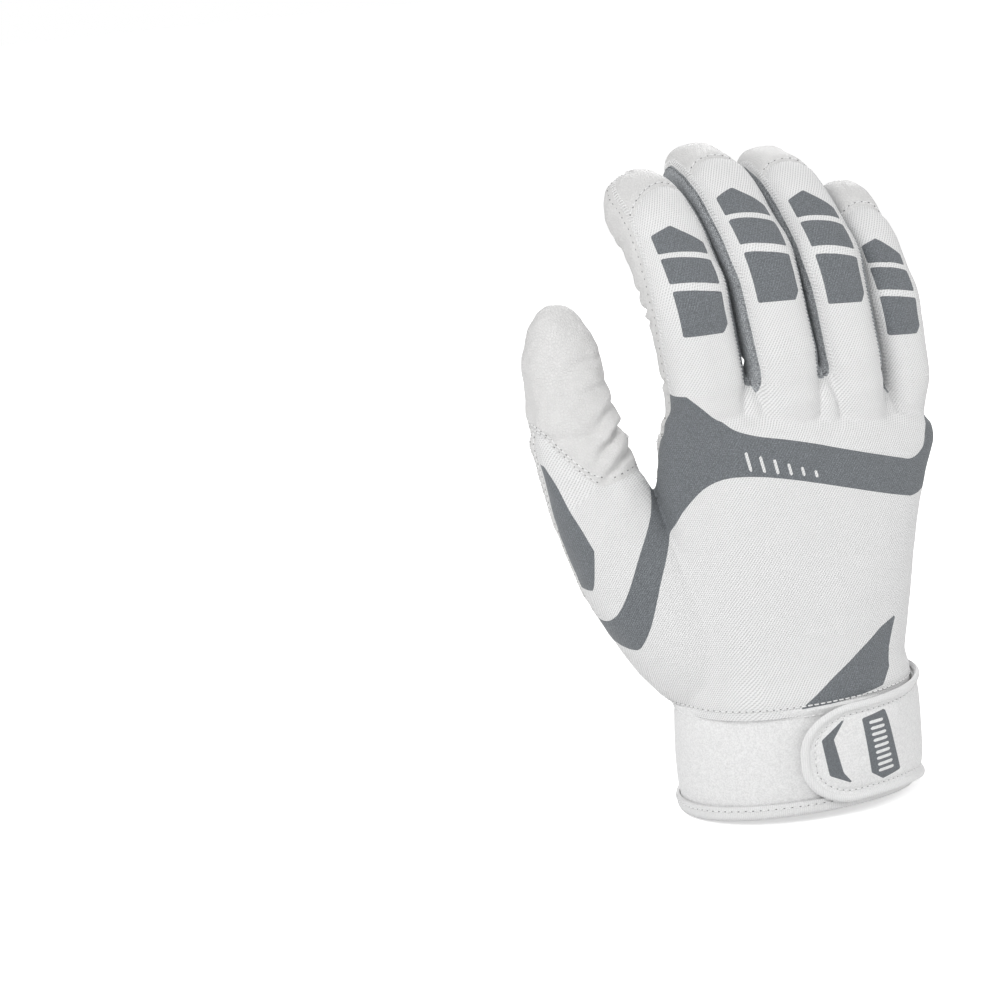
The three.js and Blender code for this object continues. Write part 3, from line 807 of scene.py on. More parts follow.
@dataclass
class Relief:
    """How far each point of the skin is pushed in or out."""

    hand: Hand
    seam_depth: float = 0.75
    seam_width: float = 1.5
    strip_seam_share: float = 0.45
    thenar_depth: float = 0.55
    thenar_width: float = 1.3
    pillow: float = 0.55
    strip_puff: float = 0.45
    # Height, size and seed of the slow waves in every cloth, and in the leather.
    cloth_waves: Table = ((0.28, 26, 3), (0.10, 9, 5))
    leather_waves: Table = ((0.26, 11, 11), (0.10, 4.5, 12))
    # Share of the finger's length and depth of the creases on its front.
    creases: Table = ((0.03, 0.7), (0.31, 0.8), (0.36, 1.2), (0.42, 0.7), (0.64, 0.7), (0.69, 1.0))
    crease_width: float = 1.1
    knuckle_shares: tuple[float, float] = (0.345, 0.375)
    # Place, slant, depth and width of the folds at the thumb's root.
    thumb_lines: Table = (
        (77, 0.30, 1.5, 1.3), (84, 0.42, 1.7, 1.4), (92, 0.5, 1.0, 1.5), (101, 0.2, 0.45, 1.2),
    )
    # Height, slope, depth, width and middle of the folds across the palm.
    palm_lines: Table = (
        (118, 0.10, 0.7, 1.6, 8), (109, -0.16, 0.85, 1.8, 18), (96, -0.28, 0.9, 2.0, 32),
        (60, 0.25, 0.5, 2.2, 26), (47, 0.1, 0.6, 1.8, 8),
    )
    palm_line_reach: float = 24.0
    ball_angles: tuple[float, ...] = (0.6, 0.95, 1.3)
    # Middle, height, width, tallness and swell of the palm's hollow and of its two balls.
    swells: Table = ((8, 84, 17, 1.4, -1.3), (-30, 70, 16, 1.4, 0.9), (33, 66, 11, 1.7, 0.8))

    def push(self, points: Array, seams: dict[str, Array]) -> Array:
        """The push along the skin's normal in millimetres, for each place."""
        front, back, cut = seams["front"], seams["back"], seams["cut"]
        seam = np.minimum(np.abs(front), np.abs(back))
        seam = np.where((cut > -6) & (back > -0.5), np.minimum(seam, np.abs(seams["cap"])), seam)
        thenar = np.where(front > -0.5, np.abs(seams["thenar"]), 99.0)
        full = np.maximum(smooth(front / 4), smooth(back / 4))
        panel = np.maximum(front, back)
        depth = mix(self.seam_depth, self.seam_depth * self.strip_seam_share, smooth((2 - panel) / 2))
        out = -depth * bell(seam, self.seam_width) + self.pillow * (1 - bell(seam, 5.0)) * full
        out += self.strip_puff * (smooth(-panel / 2) * smooth((cut + 4) / 6))
        out -= self.thenar_depth * bell(thenar, self.thenar_width)
        out += self.finger_creases(points, seams)
        out += self.thumb_folds(points, seams)
        out += self.palm_folds(points, seams)
        out += self.rippled(points, self.cloth_waves)
        out += smooth((front + 1) / 3) * self.rippled(points, self.leather_waves)
        return out * smooth((seams["foot"] - 0.5) / 3)

    def rippled(self, points: Array, table: Table) -> Array:
        """The sum of some slow waves."""
        return sum(height * waves(points, size, seed) for height, size, seed in table)

    def finger_creases(self, points: Array, seams: dict[str, Array]) -> Array:
        """Cross creases on the front of the fingers and slight knuckles on their backs."""
        finger = seams["finger"].astype(int)
        lengths, half_widths = self.hand.each("length")[finger], self.hand.each("width")[finger] / 2
        t, a, f = seams["t"], seams["a"], seams["f"]
        reach = smooth((seams["cut"] + 12) / 8)
        front = smooth((f + 1) / 5) * reach
        back = smooth((-f - 1) / 5) * reach
        out = np.zeros(len(t))
        wander = 0.9 * waves(points, 14, 21)
        for number, (share, deep) in enumerate(self.creases):
            line = t - lengths * share + wander + 0.8 * math.sin(5 * number) * a / half_widths
            out -= front * deep * bell(line, self.crease_width)
            out += front * 0.2 * deep * bell(np.abs(line) - 2.8, 2.0)
        for share in self.knuckle_shares:
            out += back * 0.35 * bell(t - lengths * share, 4.0)
        return out

    def thumb_folds(self, points: Array, seams: dict[str, Array]) -> Array:
        """Folds where the thumb leaves the palm, and light creases along it."""
        t, a, f = seams["thumb_t"], seams["thumb_a"], seams["thumb_f"]
        zone = seams["thumb_weight"] * smooth((t - 60) / 8)
        wander = 0.8 * waves(points, 12, 31)
        inner = smooth((a + 3) / 9) * zone
        out = np.zeros(len(t))
        for place, slant, deep, width in self.thumb_lines:
            line = t - place - slant * (a - 6) + wander
            out -= inner * deep * bell(line, width)
            out += inner * 0.55 * deep * bell(line - 3.2, 2.0)
        nail = smooth((-f - 2) / 4) * zone
        out -= nail * 0.5 * bell(t - 108 - 0.25 * a + wander, 1.0) * smooth((a + 2) / 6)
        out += zone * 0.2 * waves(points, 8, 33)
        return out

    def palm_folds(self, points: Array, seams: dict[str, Array]) -> Array:
        """Soft folds across the palm leather and low swells on the back."""
        x, y, z = points.T
        below_fingers = smooth((-seams["cut"] - 1) / 5)
        palm = smooth((y - 2) / 8) * below_fingers
        wander = 1.6 * waves(points, 24, 41)
        out = np.zeros(len(x))
        for height, slope, deep, width, middle in self.palm_lines:
            line = z - height - slope * (x - middle) + wander
            reach = bell(x - middle, self.palm_line_reach)
            out -= palm * deep * bell(line, width) * reach
            out += palm * 0.5 * deep * bell(line - 2 * width, 1.5 * width) * reach
        ball = palm * bell(np.hypot(x + 38, z - 100), 20)
        for angle in self.ball_angles:
            line = (z - 104) * math.cos(angle) - (x + 38) * math.sin(angle) + wander
            out -= ball * 0.7 * bell(line, 1.4)
        out += palm * self.pads(x, z, wander)
        back = smooth((-y - 3) / 6) * below_fingers
        for foot in self.hand.each("foot"):
            out += back * 0.7 * bell(x - foot[0], 7) * bell(z - foot[2] + 7, 8)
            out -= back * 0.35 * bell(x - foot[0] - 11, 4) * bell(z - foot[2] + 12, 14)
        return out

    def pads(self, x: Array, z: Array, wander: Array) -> Array:
        """The palm's pads and its hollow, and the valleys that run down from between the fingers."""
        feet = self.hand.each("foot")
        out = np.zeros(len(x))
        for foot in feet:
            out += 0.8 * bell(x - foot[0], 7) * bell(z - foot[2] + 15, 9)
        for middle, top in zip((feet[:-1, 0] + feet[1:, 0]) / 2, self.hand.crotch_tops):
            line = x - middle - 0.16 * (z - top) + 0.7 * wander
            out -= 1.1 * bell(line, 2.4) * smooth((z - top + 34) / 24)
        for middle, height, size, tall, swell in self.swells:
            out += swell * bell(np.hypot(x - middle, (z - height) / tall), size)
        return out


def score(mesh: BMesh, name: str, names: Sequence[str]) -> None:
    """Cuts faces along the line where a field is zero, so that panels end in clean edges.

    Args:
        mesh: The mesh to cut.
        name: The field, a float layer on the corners.
        names: All the fields, which the new corners also get.
    """
    layer = mesh.verts.layers.float[name]
    layers = [mesh.verts.layers.float[other] for other in names]
    snap, jump = 0.16, 12.0
    ends = [(edge, edge.verts[0][layer], edge.verts[1][layer]) for edge in mesh.edges]
    crossing = [edge for edge, a, b in ends if a * b < 0 and abs(a - b) < jump]
    for edge in crossing:
        here, there = edge.verts
        a, b = here[layer], there[layer]
        if a * b >= 0:
            continue
        share = a / (a - b)
        if share > 0.5:
            here, there, share = there, here, 1 - share
        if share < snap:
            here.co = here.co.lerp(there.co, share)
            for other in layers:
                here[other] += (there[other] - here[other]) * share
            here[layer] = 0.0
    for edge in crossing:
        here, there = edge.verts
        a, b = here[layer], there[layer]
        if a * b >= 0:
            continue
        share = a / (a - b)
        values = [here[other] + (there[other] - here[other]) * share for other in layers]
        place = here.co.lerp(there.co, share)
        _, vert = bmesh.utils.edge_split(edge, here, share)
        vert.co = place
        for other, value in zip(layers, values):
            vert[other] = value
        vert[layer] = 0.0
    near = {face for vert in mesh.verts if vert[layer] == 0.0 for face in vert.link_faces}
    for face in sorted(near, key=lambda face: face.calc_center_median()[:]):
        marks = [vert for vert in face.verts if vert[layer] == 0.0]
        signs = [vert[layer] for vert in face.verts if vert[layer] != 0.0]
        if len(marks) == 2 and len(face.verts) > 3 and signs and min(signs) < 0 < max(signs):
            if not any(set(edge.verts) == set(marks) for edge in face.edges):
                bmesh.utils.face_split(face, marks[0], marks[1])


# Cutting the skin into panels


class Skin:
    """The whole skin with its fields, cut along the seams into panels."""

    cuts = ("cut", "thumb_cut", "front", "back", "cap", "thenar", "slit", "print_hand", "print_finger")
    round_side = 0.85
    thumb_size = 11.0
    foot_overlap = 1.2
    def __init__(self, hand: Hand) -> None:
        """Makes the skin, its relief and its seams.

        Args:
            hand: The sizes of the hand.
        """
        self.hand = hand
        self.plan = SeamPlan(hand)
        self.prints = Prints(hand)
        self.mesh = hand.skin()
        self.mesh.verts.ensure_lookup_table()
        points = np.array([vert.co[:] for vert in self.mesh.verts])
        fields = self.plan.fields(points)
        fields.update(self.prints.fields(points, fields))
        self.mesh.normal_update()
        normals = np.array([vert.normal[:] for vert in self.mesh.verts])
        push = Relief(hand).push(points, fields)
        points = points + normals * push[:, None]
        for vert, place in zip(self.mesh.verts, points):
            vert.co = place
        fields.update(self.cloth_map(points, fields))
        self.names = list(fields)
        write_fields(self.mesh, fields)
        self.trim_foot()
        for name in self.cuts:
            score(self.mesh, name, self.names)

    def cloth_map(self, points: Array, fields: dict[str, Array]) -> dict[str, Array]:
        """Where each point lies on the flat cloth of the hand, its finger and the thumb, in millimetres."""
        x, y, z = points.T
        side = np.where(fields["back"] > -0.5, -1.0, 1.0)
        outer = smooth((5 - x - 24) / 14)
        middle, girth = self.girth(points)
        round_side = self.round_side
        flat_u = np.where(x > middle, middle + girth, x - outer * round_side * (y + self.hand.half_depth))
        finger = fields["finger"].astype(int)
        feet = self.hand.each("foot")
        backs = feet[:, 1] - self.hand.each("depth") / 2
        over_side = np.maximum(0, y - np.interp(x, feet[:, 0], backs)) * smooth((x - 40) / 8)
        flat_u = mix(flat_u, x + round_side * over_side, smooth((z - 92) / 18) * (x > middle))
        turn = np.arctan2(fields["a"], side * fields["f"])
        thumb_turn = np.arctan2(fields["thumb_a"], side * fields["thumb_f"])
        return {
            "hand_u": flat_u, "hand_v": z,
            "finger_u": feet[finger, 0] + turn * (self.hand.each("width") / 2)[finger],
            "finger_v": mix(z, feet[finger, 2] + fields["t"], smooth((fields["t"] + 3) / 14)),
            "thumb_u": thumb_turn * self.thumb_size, "thumb_v": fields["thumb_t"],
        }

    def girth(self, points: Array) -> tuple[Array, Array]:
        """How far each point lies round the palm from the middle of its back.

        Args:
            points: Places on the skin, one row each.

        Returns:
            The palm's middle at each place, and the length round its section to it.
        """
        x, y, z = points.T
        middle, width, depth = self.hand.section((z - self.hand.cuff_height) / self.hand.palm_length)
        power = self.hand.roundness / 2
        across, back = (x - middle) / width, -y / depth
        turn = np.arctan2(np.abs(across) ** power, np.sign(back) * np.abs(back) ** power)
        steps = np.linspace(0, math.pi, 49)
        wide = np.abs(np.sin(steps)) ** (1 / power)
        deep = np.sign(np.cos(steps)) * np.abs(np.cos(steps)) ** (1 / power)
        length = np.zeros(len(points))
        for start, end, step_wide, step_deep in zip(steps, steps[1:], np.diff(wide), np.diff(deep)):
            step = np.hypot(width * step_wide, depth * step_deep)
            length += np.clip((turn - start) / (end - start), 0, 1) * step
        return middle, length

    def trim_foot(self) -> None:
        """Cuts the skin open at the cuff's top."""
        everything = [*self.mesh.verts, *self.mesh.edges, *self.mesh.faces]
        foot = (0, 0, self.hand.cuff_height - self.foot_overlap)
        bmesh.ops.bisect_plane(
            self.mesh, geom=everything, plane_co=foot, plane_no=(0, 0, -1), clear_outer=True,
        )

    def sort(self) -> dict[str, list]:
        """The faces of each panel."""
        panels: dict[str, list] = {}
        for face in self.mesh.faces:
            panel = self.panel_of(face, list(self.hand.sleeves))
            if panel:
                panels.setdefault(panel, []).append(face)
        return panels

    def panel_of(self, face: bmesh.types.BMFace, names: list[str]) -> str:
        """The panel that a face belongs to."""

        def value(name: str) -> float:
            layer = self.mesh.verts.layers.float[name]
            return sum(vert[layer] for vert in face.verts) / len(face.verts)

        front, back = value("front"), value("back")
        if value("slit") > 0:
            return ""
        if value("cut") > 0:
            name = names[int(round(value("finger")))]
            if front > 0:
                return f"{name}_front_leather"
            if back > 0:
                return f"{name}_tip_cap" if value("cap") > 0 else f"{name}_back_knit"
            return f"{name}_radial_mesh" if value("a") < 0 else f"{name}_ulnar_mesh"
        if value("thumb_cut") > 0:
            if back > 0:
                return "thumb_base_knit"
            return "thumb_front_leather" if value("thumb_f") > 0 else "thumb_back_leather"
        if front > 0:
            return "thenar_leather" if value("thenar") > 0 else "palm_leather"
        if back > 0:
            return "back_knit"
        feet = self.hand.each("foot")[:, 0]
        gap = int(np.clip(np.searchsorted(feet, face.calc_center_median().x, side="right") - 1, 0, 2))
        return f"crotch_{names[gap]}_{names[gap + 1]}"


# Traced lines on the skin, and thread along them


@dataclass
class Trail:
    """A line on the skin with the skin's normals and values along it."""

    points: Array
    normals: Array
    values: dict[str, Array]
    half_step: float = 0.6

    def along(self, pitch: float) -> Iterable[tuple[Array, Array, Array, dict[str, float]]]:
        """Evenly spaced places with their normal, their direction and their values."""
        steps = np.linalg.norm(np.diff(self.points, axis=0), axis=1)
        run = np.concatenate([[0], np.cumsum(steps)])
        count = int(run[-1] / pitch)

        def row(table: Array, at: float) -> Array:
            return np.array([np.interp(at, run, table[:, k]) for k in range(3)])

        for number in range(count):
            at = (number + 0.5) * run[-1] / count
            normal = row(self.normals, at)
            normal /= np.linalg.norm(normal) + 1e-9
            way = row(self.points, at + self.half_step) - row(self.points, at - self.half_step)
            way /= np.linalg.norm(way) + 1e-9
            values = {name: float(np.interp(at, run, table)) for name, table in self.values.items()}
            yield row(self.points, at), normal, way, values


class Tracer:
    """Finds the lines on the skin where a field has a given value."""

    jump = 8
    fewest_places = 6

    def __init__(self, skin: Skin) -> None:
        """Reads the skin into arrays."""
        mesh = skin.mesh
        mesh.normal_update()
        mesh.verts.index_update()
        self.points = np.array([vert.co[:] for vert in mesh.verts])
        self.normals = np.array([vert.normal[:] for vert in mesh.verts])
        layers = {name: mesh.verts.layers.float[name] for name in skin.names}
        self.values = {name: np.array([vert[layer] for vert in mesh.verts]) for name, layer in layers.items()}
        self.ends = np.array([[vert.index for vert in edge.verts] for edge in mesh.edges])
        self.faces = [[face.index for face in edge.link_faces] for edge in mesh.edges]

    def lines(self, name: str, level: float, keep: Callable[[dict[str, Array]], Array]) -> list[Trail]:
        """The lines where a field has a value.

        Args:
            name: The field.
            level: The value on the line.
            keep: Says from the other fields which places stay.

        Returns:
            One trail for each unbroken line of more than a few places.
        """
        field_values = self.values[name] - level
        a, b = field_values[self.ends[:, 0]], field_values[self.ends[:, 1]]
        crossing = np.nonzero((a * b < 0) & (np.abs(a - b) < self.jump))[0]
        share = a[crossing] / (a[crossing] - b[crossing])
        first, second = self.ends[crossing].T

        def between(table: Array) -> Array:
            weight = share if table.ndim == 1 else share[:, None]
            return table[first] + (table[second] - table[first]) * weight

        points, normals = between(self.points), between(self.normals)
        values = {key: between(table) for key, table in self.values.items()}
        kept = keep(values)
        by_face: dict[int, list[int]] = {}
        for row in np.nonzero(kept)[0]:
            for face in self.faces[crossing[row]]:
                by_face.setdefault(face, []).append(int(row))
        links: dict[int, list[int]] = {}
        for rows in by_face.values():
            if len(rows) == 2:
                links.setdefault(rows[0], []).append(rows[1])
                links.setdefault(rows[1], []).append(rows[0])
        trails = []
        left = set(links)
        while left:
            start = next((row for row in sorted(left) if len(links[row]) == 1), min(left))
            chain = [start]
            left.discard(start)
            while True:
                following = [row for row in links[chain[-1]] if row in left]
                if not following:
                    break
                chain.append(following[0])
                left.discard(following[0])
            if len(chain) > self.fewest_places:
                pick = np.array(chain)
                kept_values = {key: table[pick] for key, table in values.items()}
                trails.append(Trail(points[pick], normals[pick], kept_values))
        return trails


@dataclass
class Thread:
    """Short runs of thread, and dark dashes of painted shade at needle holes, gathered by the body that
    carries them.
    """

    radius: float = 0.24
    pitch: float = 2.1
    # Place along a stitch, height over the cloth and thickness of the stitch's points.
    profile: Table = ((-0.5, -0.16, 0.75), (-0.3, 0.16, 1.0), (0.3, 0.16, 1.0), (0.5, -0.16, 0.75))
    # Width of the dark dashes of painted shade at the needle holes, where the thread dips into the cloth.
    shade_dash_width: float = 0.62
    runs: dict[tuple[str, Body], list[tuple[list[Array], list[float]]]] = field(default_factory=dict)

    def stitch(
        self, kind: str, body: Body, place: Array, normal: Array, way: Array, length: float,
        thick: float = 1.0,
    ) -> None:
        """One stitch that rises from the cloth and dips back into it."""
        points = [place + way * length * share + normal * rise for share, rise, _ in self.profile]
        widths = [width * thick for _, _, width in self.profile]
        self.runs.setdefault((kind, body), []).append((points, widths))

    def hole(
        self, kind: str, body: Body, place: Array, normal: Array, way: Array, length: float = 0.5,
    ) -> None:
        """Painted shade at one needle hole: a small dark dash sunk in the cloth, where the thread dips in."""
        middle = place - normal * self.radius * 0.25
        points = [middle - way * length / 2, middle + way * length / 2]
        self.runs.setdefault((kind, body), []).append((points, [self.shade_dash_width, self.shade_dash_width]))

    def row(
        self, kinds: tuple[str, str], body: Body, face: Callable[[float, float, float], Vector],
        line: Outline, sizes: tuple[float, float, float, float],
    ) -> None:
        """A row of stitches with a dark dash of painted shade at the needle hole after each.

        Args:
            kinds: What the stitches and the painted shade dashes at their holes are called.
            body: What carries them.
            face: A place on the cloth, from its two measures and a height over it.
            line: The row's places, as the cloth's two measures.
            sizes: Length and thickness of a stitch, way to its hole, length of the painted shade dash at a
                hole.
        """
        length, thick, ahead, dash = sizes
        points, above = (np.array([face(u, v, lift) for u, v in line]) for lift in (0.0, 1.0))
        for place, normal, way, _ in Trail(points, above - points, {}).along(self.pitch):
            self.stitch(kinds[0], body, place, normal, way, length, thick)
            self.hole(kinds[1], body, place + way * ahead, normal, way, dash)


def tubes_along(
    name: str, runs: Iterable[tuple[list[Array], list[float]]], radius: float, roundness: int,
) -> Mesh:
    """A mesh of round tubes, in millimetres.

    Args:
        name: The curve's name.
        runs: For each tube its places, and its thickness at each as a share.
        radius: The tubes' full radius.
        roundness: How finely they are rounded.

    Returns:
        The mesh of all tubes.
    """
    curve = bpy.data.curves.new(name, "CURVE")
    curve.dimensions = "3D"
    curve.bevel_depth = radius
    curve.bevel_resolution = roundness
    curve.use_fill_caps = True
    for places, shares in runs:
        spline = curve.splines.new("POLY")
        spline.points.add(len(places) - 1)
        for point, place, share in zip(spline.points, places, shares):
            point.co = (*place, 1.0)
            point.radius = share
    holder = in_scene("curve", curve)
    data = evaluated(holder)
    bpy.data.objects.remove(holder)
    bpy.data.curves.remove(curve)
    return data


# Finishes


class Tree:
    """Builds one material's nodes round its Principled shader."""

    def __init__(self, name: str) -> None:
        """Starts a new material."""
        self.material = bpy.data.materials.new(name)
        self.material.use_nodes = True
        self.nodes = self.material.node_tree.nodes
        self.links = self.material.node_tree.links
        self.shader = self.nodes["Principled BSDF"]

    def node(self, kind: str, inputs: dict | None = None, **settings: object) -> bpy.types.Node:
        """A new node with its settings and its input values or links."""
        made = self.nodes.new(kind)
        for key, value in settings.items():
            setattr(made, key, value)
        for key, value in (inputs or {}).items():
            self.feed(made.inputs[key], value)
        return made

    def feed(self, socket: Socket, value: object) -> None:
        """Sets a socket's value, or links an output to it."""
        if isinstance(value, Socket):
            self.links.new(value, socket)
        else:
            socket.default_value = value

    def math(self, operation: str, a: object, b: object = 0.0) -> Socket:
        """A sum on values."""
        return self.node("ShaderNodeMath", {0: a, 1: b}, operation=operation).outputs[0]

    def add(self, a: object, b: object) -> Socket:
        """a plus b."""
        return self.math("ADD", a, b)

    def less(self, a: object, b: object) -> Socket:
        """a less b."""
        return self.math("SUBTRACT", a, b)

    def times(self, a: object, b: object) -> Socket:
        """a times b."""
        return self.math("MULTIPLY", a, b)

    def blend(self, weight: object, a: object, b: object) -> Socket:
        """A colour between a and b."""
        made = self.node("ShaderNodeMix", {0: weight}, data_type="RGBA")
        self.feed(made.inputs[6], a)
        self.feed(made.inputs[7], b)
        return made.outputs[2]

    def span(
        self, value: object, low: float, high: float, to_low: float = 0.0, to_high: float = 1.0,
    ) -> Socket:
        """Maps a range of values to another, smoothly and clamped."""
        inputs = {0: value, 1: low, 2: high, 3: to_low, 4: to_high}
        return self.node("ShaderNodeMapRange", inputs, interpolation_type="SMOOTHSTEP").outputs[0]

    def place(self) -> Socket:
        """Object coordinates, in metres."""
        return self.node("ShaderNodeTexCoord").outputs["Object"]

    def cloth(self) -> tuple[Socket, Socket]:
        """The piece's own cloth map, in millimetres."""
        cloth = self.node("ShaderNodeUVMap", uv_map="cloth").outputs[0]
        parts = self.node("ShaderNodeSeparateXYZ", {0: cloth})
        return parts.outputs[0], parts.outputs[1]

    def noise(self, size: float, detail: float = 2.0, rough: float = 0.5) -> Socket:
        """Noise with a wave of the given size in millimetres."""
        inputs = {"Vector": self.place(), "Scale": 1000.0 / size, "Detail": detail, "Roughness": rough}
        return self.node("ShaderNodeTexNoise", inputs).outputs[0]

    def cells(self, size: float) -> Socket:
        """How far a place lies from the edge of its cell, for cells of the given size in millimetres."""
        inputs = {"Vector": self.place(), "Scale": 1000.0 / size}
        return self.node("ShaderNodeTexVoronoi", inputs, feature="DISTANCE_TO_EDGE").outputs["Distance"]

    def sine(self, value: object, pitch: float, shift: object = 0.0) -> Socket:
        """A wave of the given pitch, from -1 to 1."""
        return self.math("SINE", self.add(self.times(value, 2 * math.pi / pitch), shift))

    def ovals(self, pitch: float, row: float, slant: float, wide: float, tall: float) -> Socket:
        """Staggered slanted ovals on the cloth map, 1 inside and 0 outside."""
        u, v = self.cloth()
        rows = self.math("DIVIDE", v, row)
        shift = self.times(self.math("MODULO", self.math("FLOOR", rows), 2.0), 0.5)
        across = self.math("FRACT", self.add(self.math("DIVIDE", u, pitch), self.math("ABSOLUTE", shift)))
        x = self.times(self.less(across, 0.5), pitch)
        y = self.times(self.less(self.math("FRACT", rows), 0.5), row)
        c, s = math.cos(slant), math.sin(slant)
        along = self.add(self.times(x, c), self.times(y, s))
        aside = self.less(self.times(y, c), self.times(x, s))
        squares = [
            self.math("POWER", self.math("DIVIDE", value, size), 2.0)
            for value, size in ((along, wide), (aside, tall))
        ]
        return self.span(self.add(*squares), 0.5, 1.35, 1.0, 0.0)

    def printed(self, plain: object, inked: object) -> Socket:
        """The inked colour where the cloth is marked as printed, and the plain one elsewhere."""
        mark = self.node("ShaderNodeAttribute", attribute_name="print").outputs["Fac"]
        return self.blend(self.span(mark, 0.4, 0.6), plain, inked)

    def coat(
        self, colour: object, roughness: object, specular: float, height: object, depth: float,
        strength: float, sheen: float = 0.0,
    ) -> Material:
        """Gives the shader its looks.

        Args:
            colour: Its base colour.
            roughness: How dull it is.
            specular: How strong its highlights are.
            height: The height of its bump.
            depth: The depth of its bump in millimetres.
            strength: The strength of its bump.
            sheen: The weight of its sheen.

        Returns:
            The finished material.
        """
        bump = self.node("ShaderNodeBump", {"Height": height, "Distance": depth * MM, "Strength": strength})
        looks = {
            "Base Color": colour, "Roughness": roughness, "Specular IOR Level": specular,
            "Sheen Weight": sheen, "Normal": bump.outputs[0],
        }
        for name, value in looks.items():
            self.feed(self.shader.inputs[name], value)
        return self.material


Colour = tuple[float, float, float, float]


def grey(value: float, warm: float = 0.0) -> Colour:
    """A neutral colour from its screen value of 0 to 1, a little warm or cool."""
    linear = value ** 2.2
    return (linear * (1 + warm), linear, linear * (1 - warm), 1.0)


@dataclass(frozen=True)
class Leather:
    """Soft glove leather with a fine grain."""

    light: Colour = grey(0.875, 0.006)
    dark: Colour = grey(0.835, 0.006)
    roughness: float = 0.56
    grain: float = 0.85

    def material(self) -> Material:
        """Builds the material."""
        tree = Tree("leather")
        grain = tree.span(tree.cells(self.grain), 0.0, 0.16)
        pores = tree.noise(0.3, 3.0, 0.6)
        soft = tree.noise(3.5, 3.0, 0.55)
        height = tree.add(tree.add(tree.times(grain, 0.5), tree.times(pores, 0.5)), tree.times(soft, 0.5))
        tone = tree.add(tree.times(grain, 0.45), tree.span(soft, 0.3, 0.7, 0.2, 0.5))
        roughness = tree.span(pores, 0.3, 0.7, self.roughness - 0.08, self.roughness + 0.12)
        return tree.coat(tree.blend(tone, self.dark, self.light), roughness, 0.4, height, 0.2, 0.9)


@dataclass(frozen=True)
class Knit:
    """White mesh knit with small slanted ovals, printed grey where the cloth is marked so; the ovals are
    openings, painted darker as shade.
    """

    light: Colour = grey(0.925)
    # Painted shade: the darker colour in the knit's openings.
    hollow: Colour = grey(0.835)
    ink: Colour = grey(0.42, -0.07)
    ink_light: Colour = grey(0.55, -0.07)
    pitch: float = 0.92
    row: float = 0.57

    def material(self) -> Material:
        """Builds the material."""
        tree = Tree("knit")
        ovals = tree.ovals(self.pitch, self.row, 0.55, 0.33, 0.16)
        fuzz = tree.noise(0.35, 3.0, 0.6)
        # Painted shade: the ovals darken the plain knit and its print.
        plain = tree.blend(ovals, self.light, self.hollow)
        ink_tone = tree.times(tree.span(fuzz, 0.35, 0.7), tree.less(1.0, tree.times(ovals, 0.6)))
        colour = tree.printed(plain, tree.blend(ink_tone, self.ink, self.ink_light))
        return tree.coat(colour, 0.85, 0.25, tree.less(tree.times(fuzz, 0.5), ovals), 0.22, 0.8, sheen=0.15)


@dataclass(frozen=True)
class SideMesh:
    """Grey mesh between the fingers, rough and mottled, with its oval openings painted darker as shade."""

    light: Colour = grey(0.74, -0.04)
    dark: Colour = grey(0.55, -0.04)
    size: float = 0.62

    def material(self) -> Material:
        """Builds the material."""
        tree = Tree("side_mesh")
        ovals = tree.ovals(0.8, 0.55, -0.4, 0.26, 0.2)
        mottle = tree.noise(self.size, 3.0, 0.65)
        # Painted shade: the ovals darken the mesh's openings.
        tone = tree.less(tree.span(mottle, 0.32, 0.68), tree.times(ovals, 0.55))
        height = tree.less(tree.times(mottle, 0.8), ovals)
        return tree.coat(tree.blend(tone, self.dark, self.light), 0.92, 0.15, height, 0.25, 0.9)


@dataclass(frozen=True)
class Brushed:
    """Soft brushed stretch fabric of the cuff and the strap."""

    light: Colour = grey(0.955)
    dark: Colour = grey(0.86)
    ink: Colour = grey(0.42, -0.07)
    ink_light: Colour = grey(0.49, -0.07)

    def material(self) -> Material:
        """Builds the material."""
        tree = Tree("brushed")
        fuzz = tree.noise(0.5, 4.0, 0.75)
        patches = tree.noise(1.3, 3.0, 0.6)
        nap = tree.span(fuzz, 0.35, 0.65)
        tone = tree.add(tree.times(nap, 0.75), tree.span(patches, 0.3, 0.7, 0.0, 0.25))
        plain = tree.blend(tone, self.dark, self.light)
        colour = tree.printed(plain, tree.blend(nap, self.ink, self.ink_light))
        tree.shader.inputs["Sheen Roughness"].default_value = 0.4
        return tree.coat(colour, 0.95, 0.12, tree.add(fuzz, tree.times(patches, 1.2)), 0.22, 0.8, sheen=0.35)


@dataclass(frozen=True)
class Binding:
    """Smooth folded binding tape with a fine rib."""

    light: Colour = grey(0.93)
    dark: Colour = grey(0.86)
    rib: float = 0.55

    def material(self) -> Material:
        """Builds the material."""
        tree = Tree("binding")
        wave = tree.sine(tree.cloth()[0], self.rib)
        fuzz = tree.noise(0.3, 3.0, 0.6)
        tone = tree.add(tree.span(wave, -1.0, 1.0, 0.2, 0.7), tree.span(fuzz, 0.3, 0.7, -0.2, 0.3))
        return tree.coat(tree.blend(tone, self.dark, self.light), 0.75, 0.3, tree.add(wave, fuzz), 0.05, 0.7)


@dataclass(frozen=True)
class Webbing:
    """Grey woven tape with fine cross ribs."""

    light: Colour = grey(0.61, -0.06)
    dark: Colour = grey(0.38, -0.06)
    rib: float = 0.9
    warp: float = 0.5

    def material(self) -> Material:
        """Builds the material."""
        tree = Tree("webbing")
        u, v = tree.cloth()
        across = tree.sine(u, self.warp)
        ribs = tree.sine(v, self.rib, tree.times(tree.math("SIGN", across), math.pi / 2))
        fuzz = tree.noise(0.3, 3.0, 0.65)
        weave = tree.times(tree.math("ABSOLUTE", across), tree.span(ribs, -1.0, 1.0))
        tone = tree.add(tree.times(weave, 0.7), tree.span(fuzz, 0.3, 0.7, -0.15, 0.4))
        height = tree.add(weave, tree.times(fuzz, 0.4))
        return tree.coat(tree.blend(tone, self.dark, self.light), 0.88, 0.2, height, 0.2, 0.9)


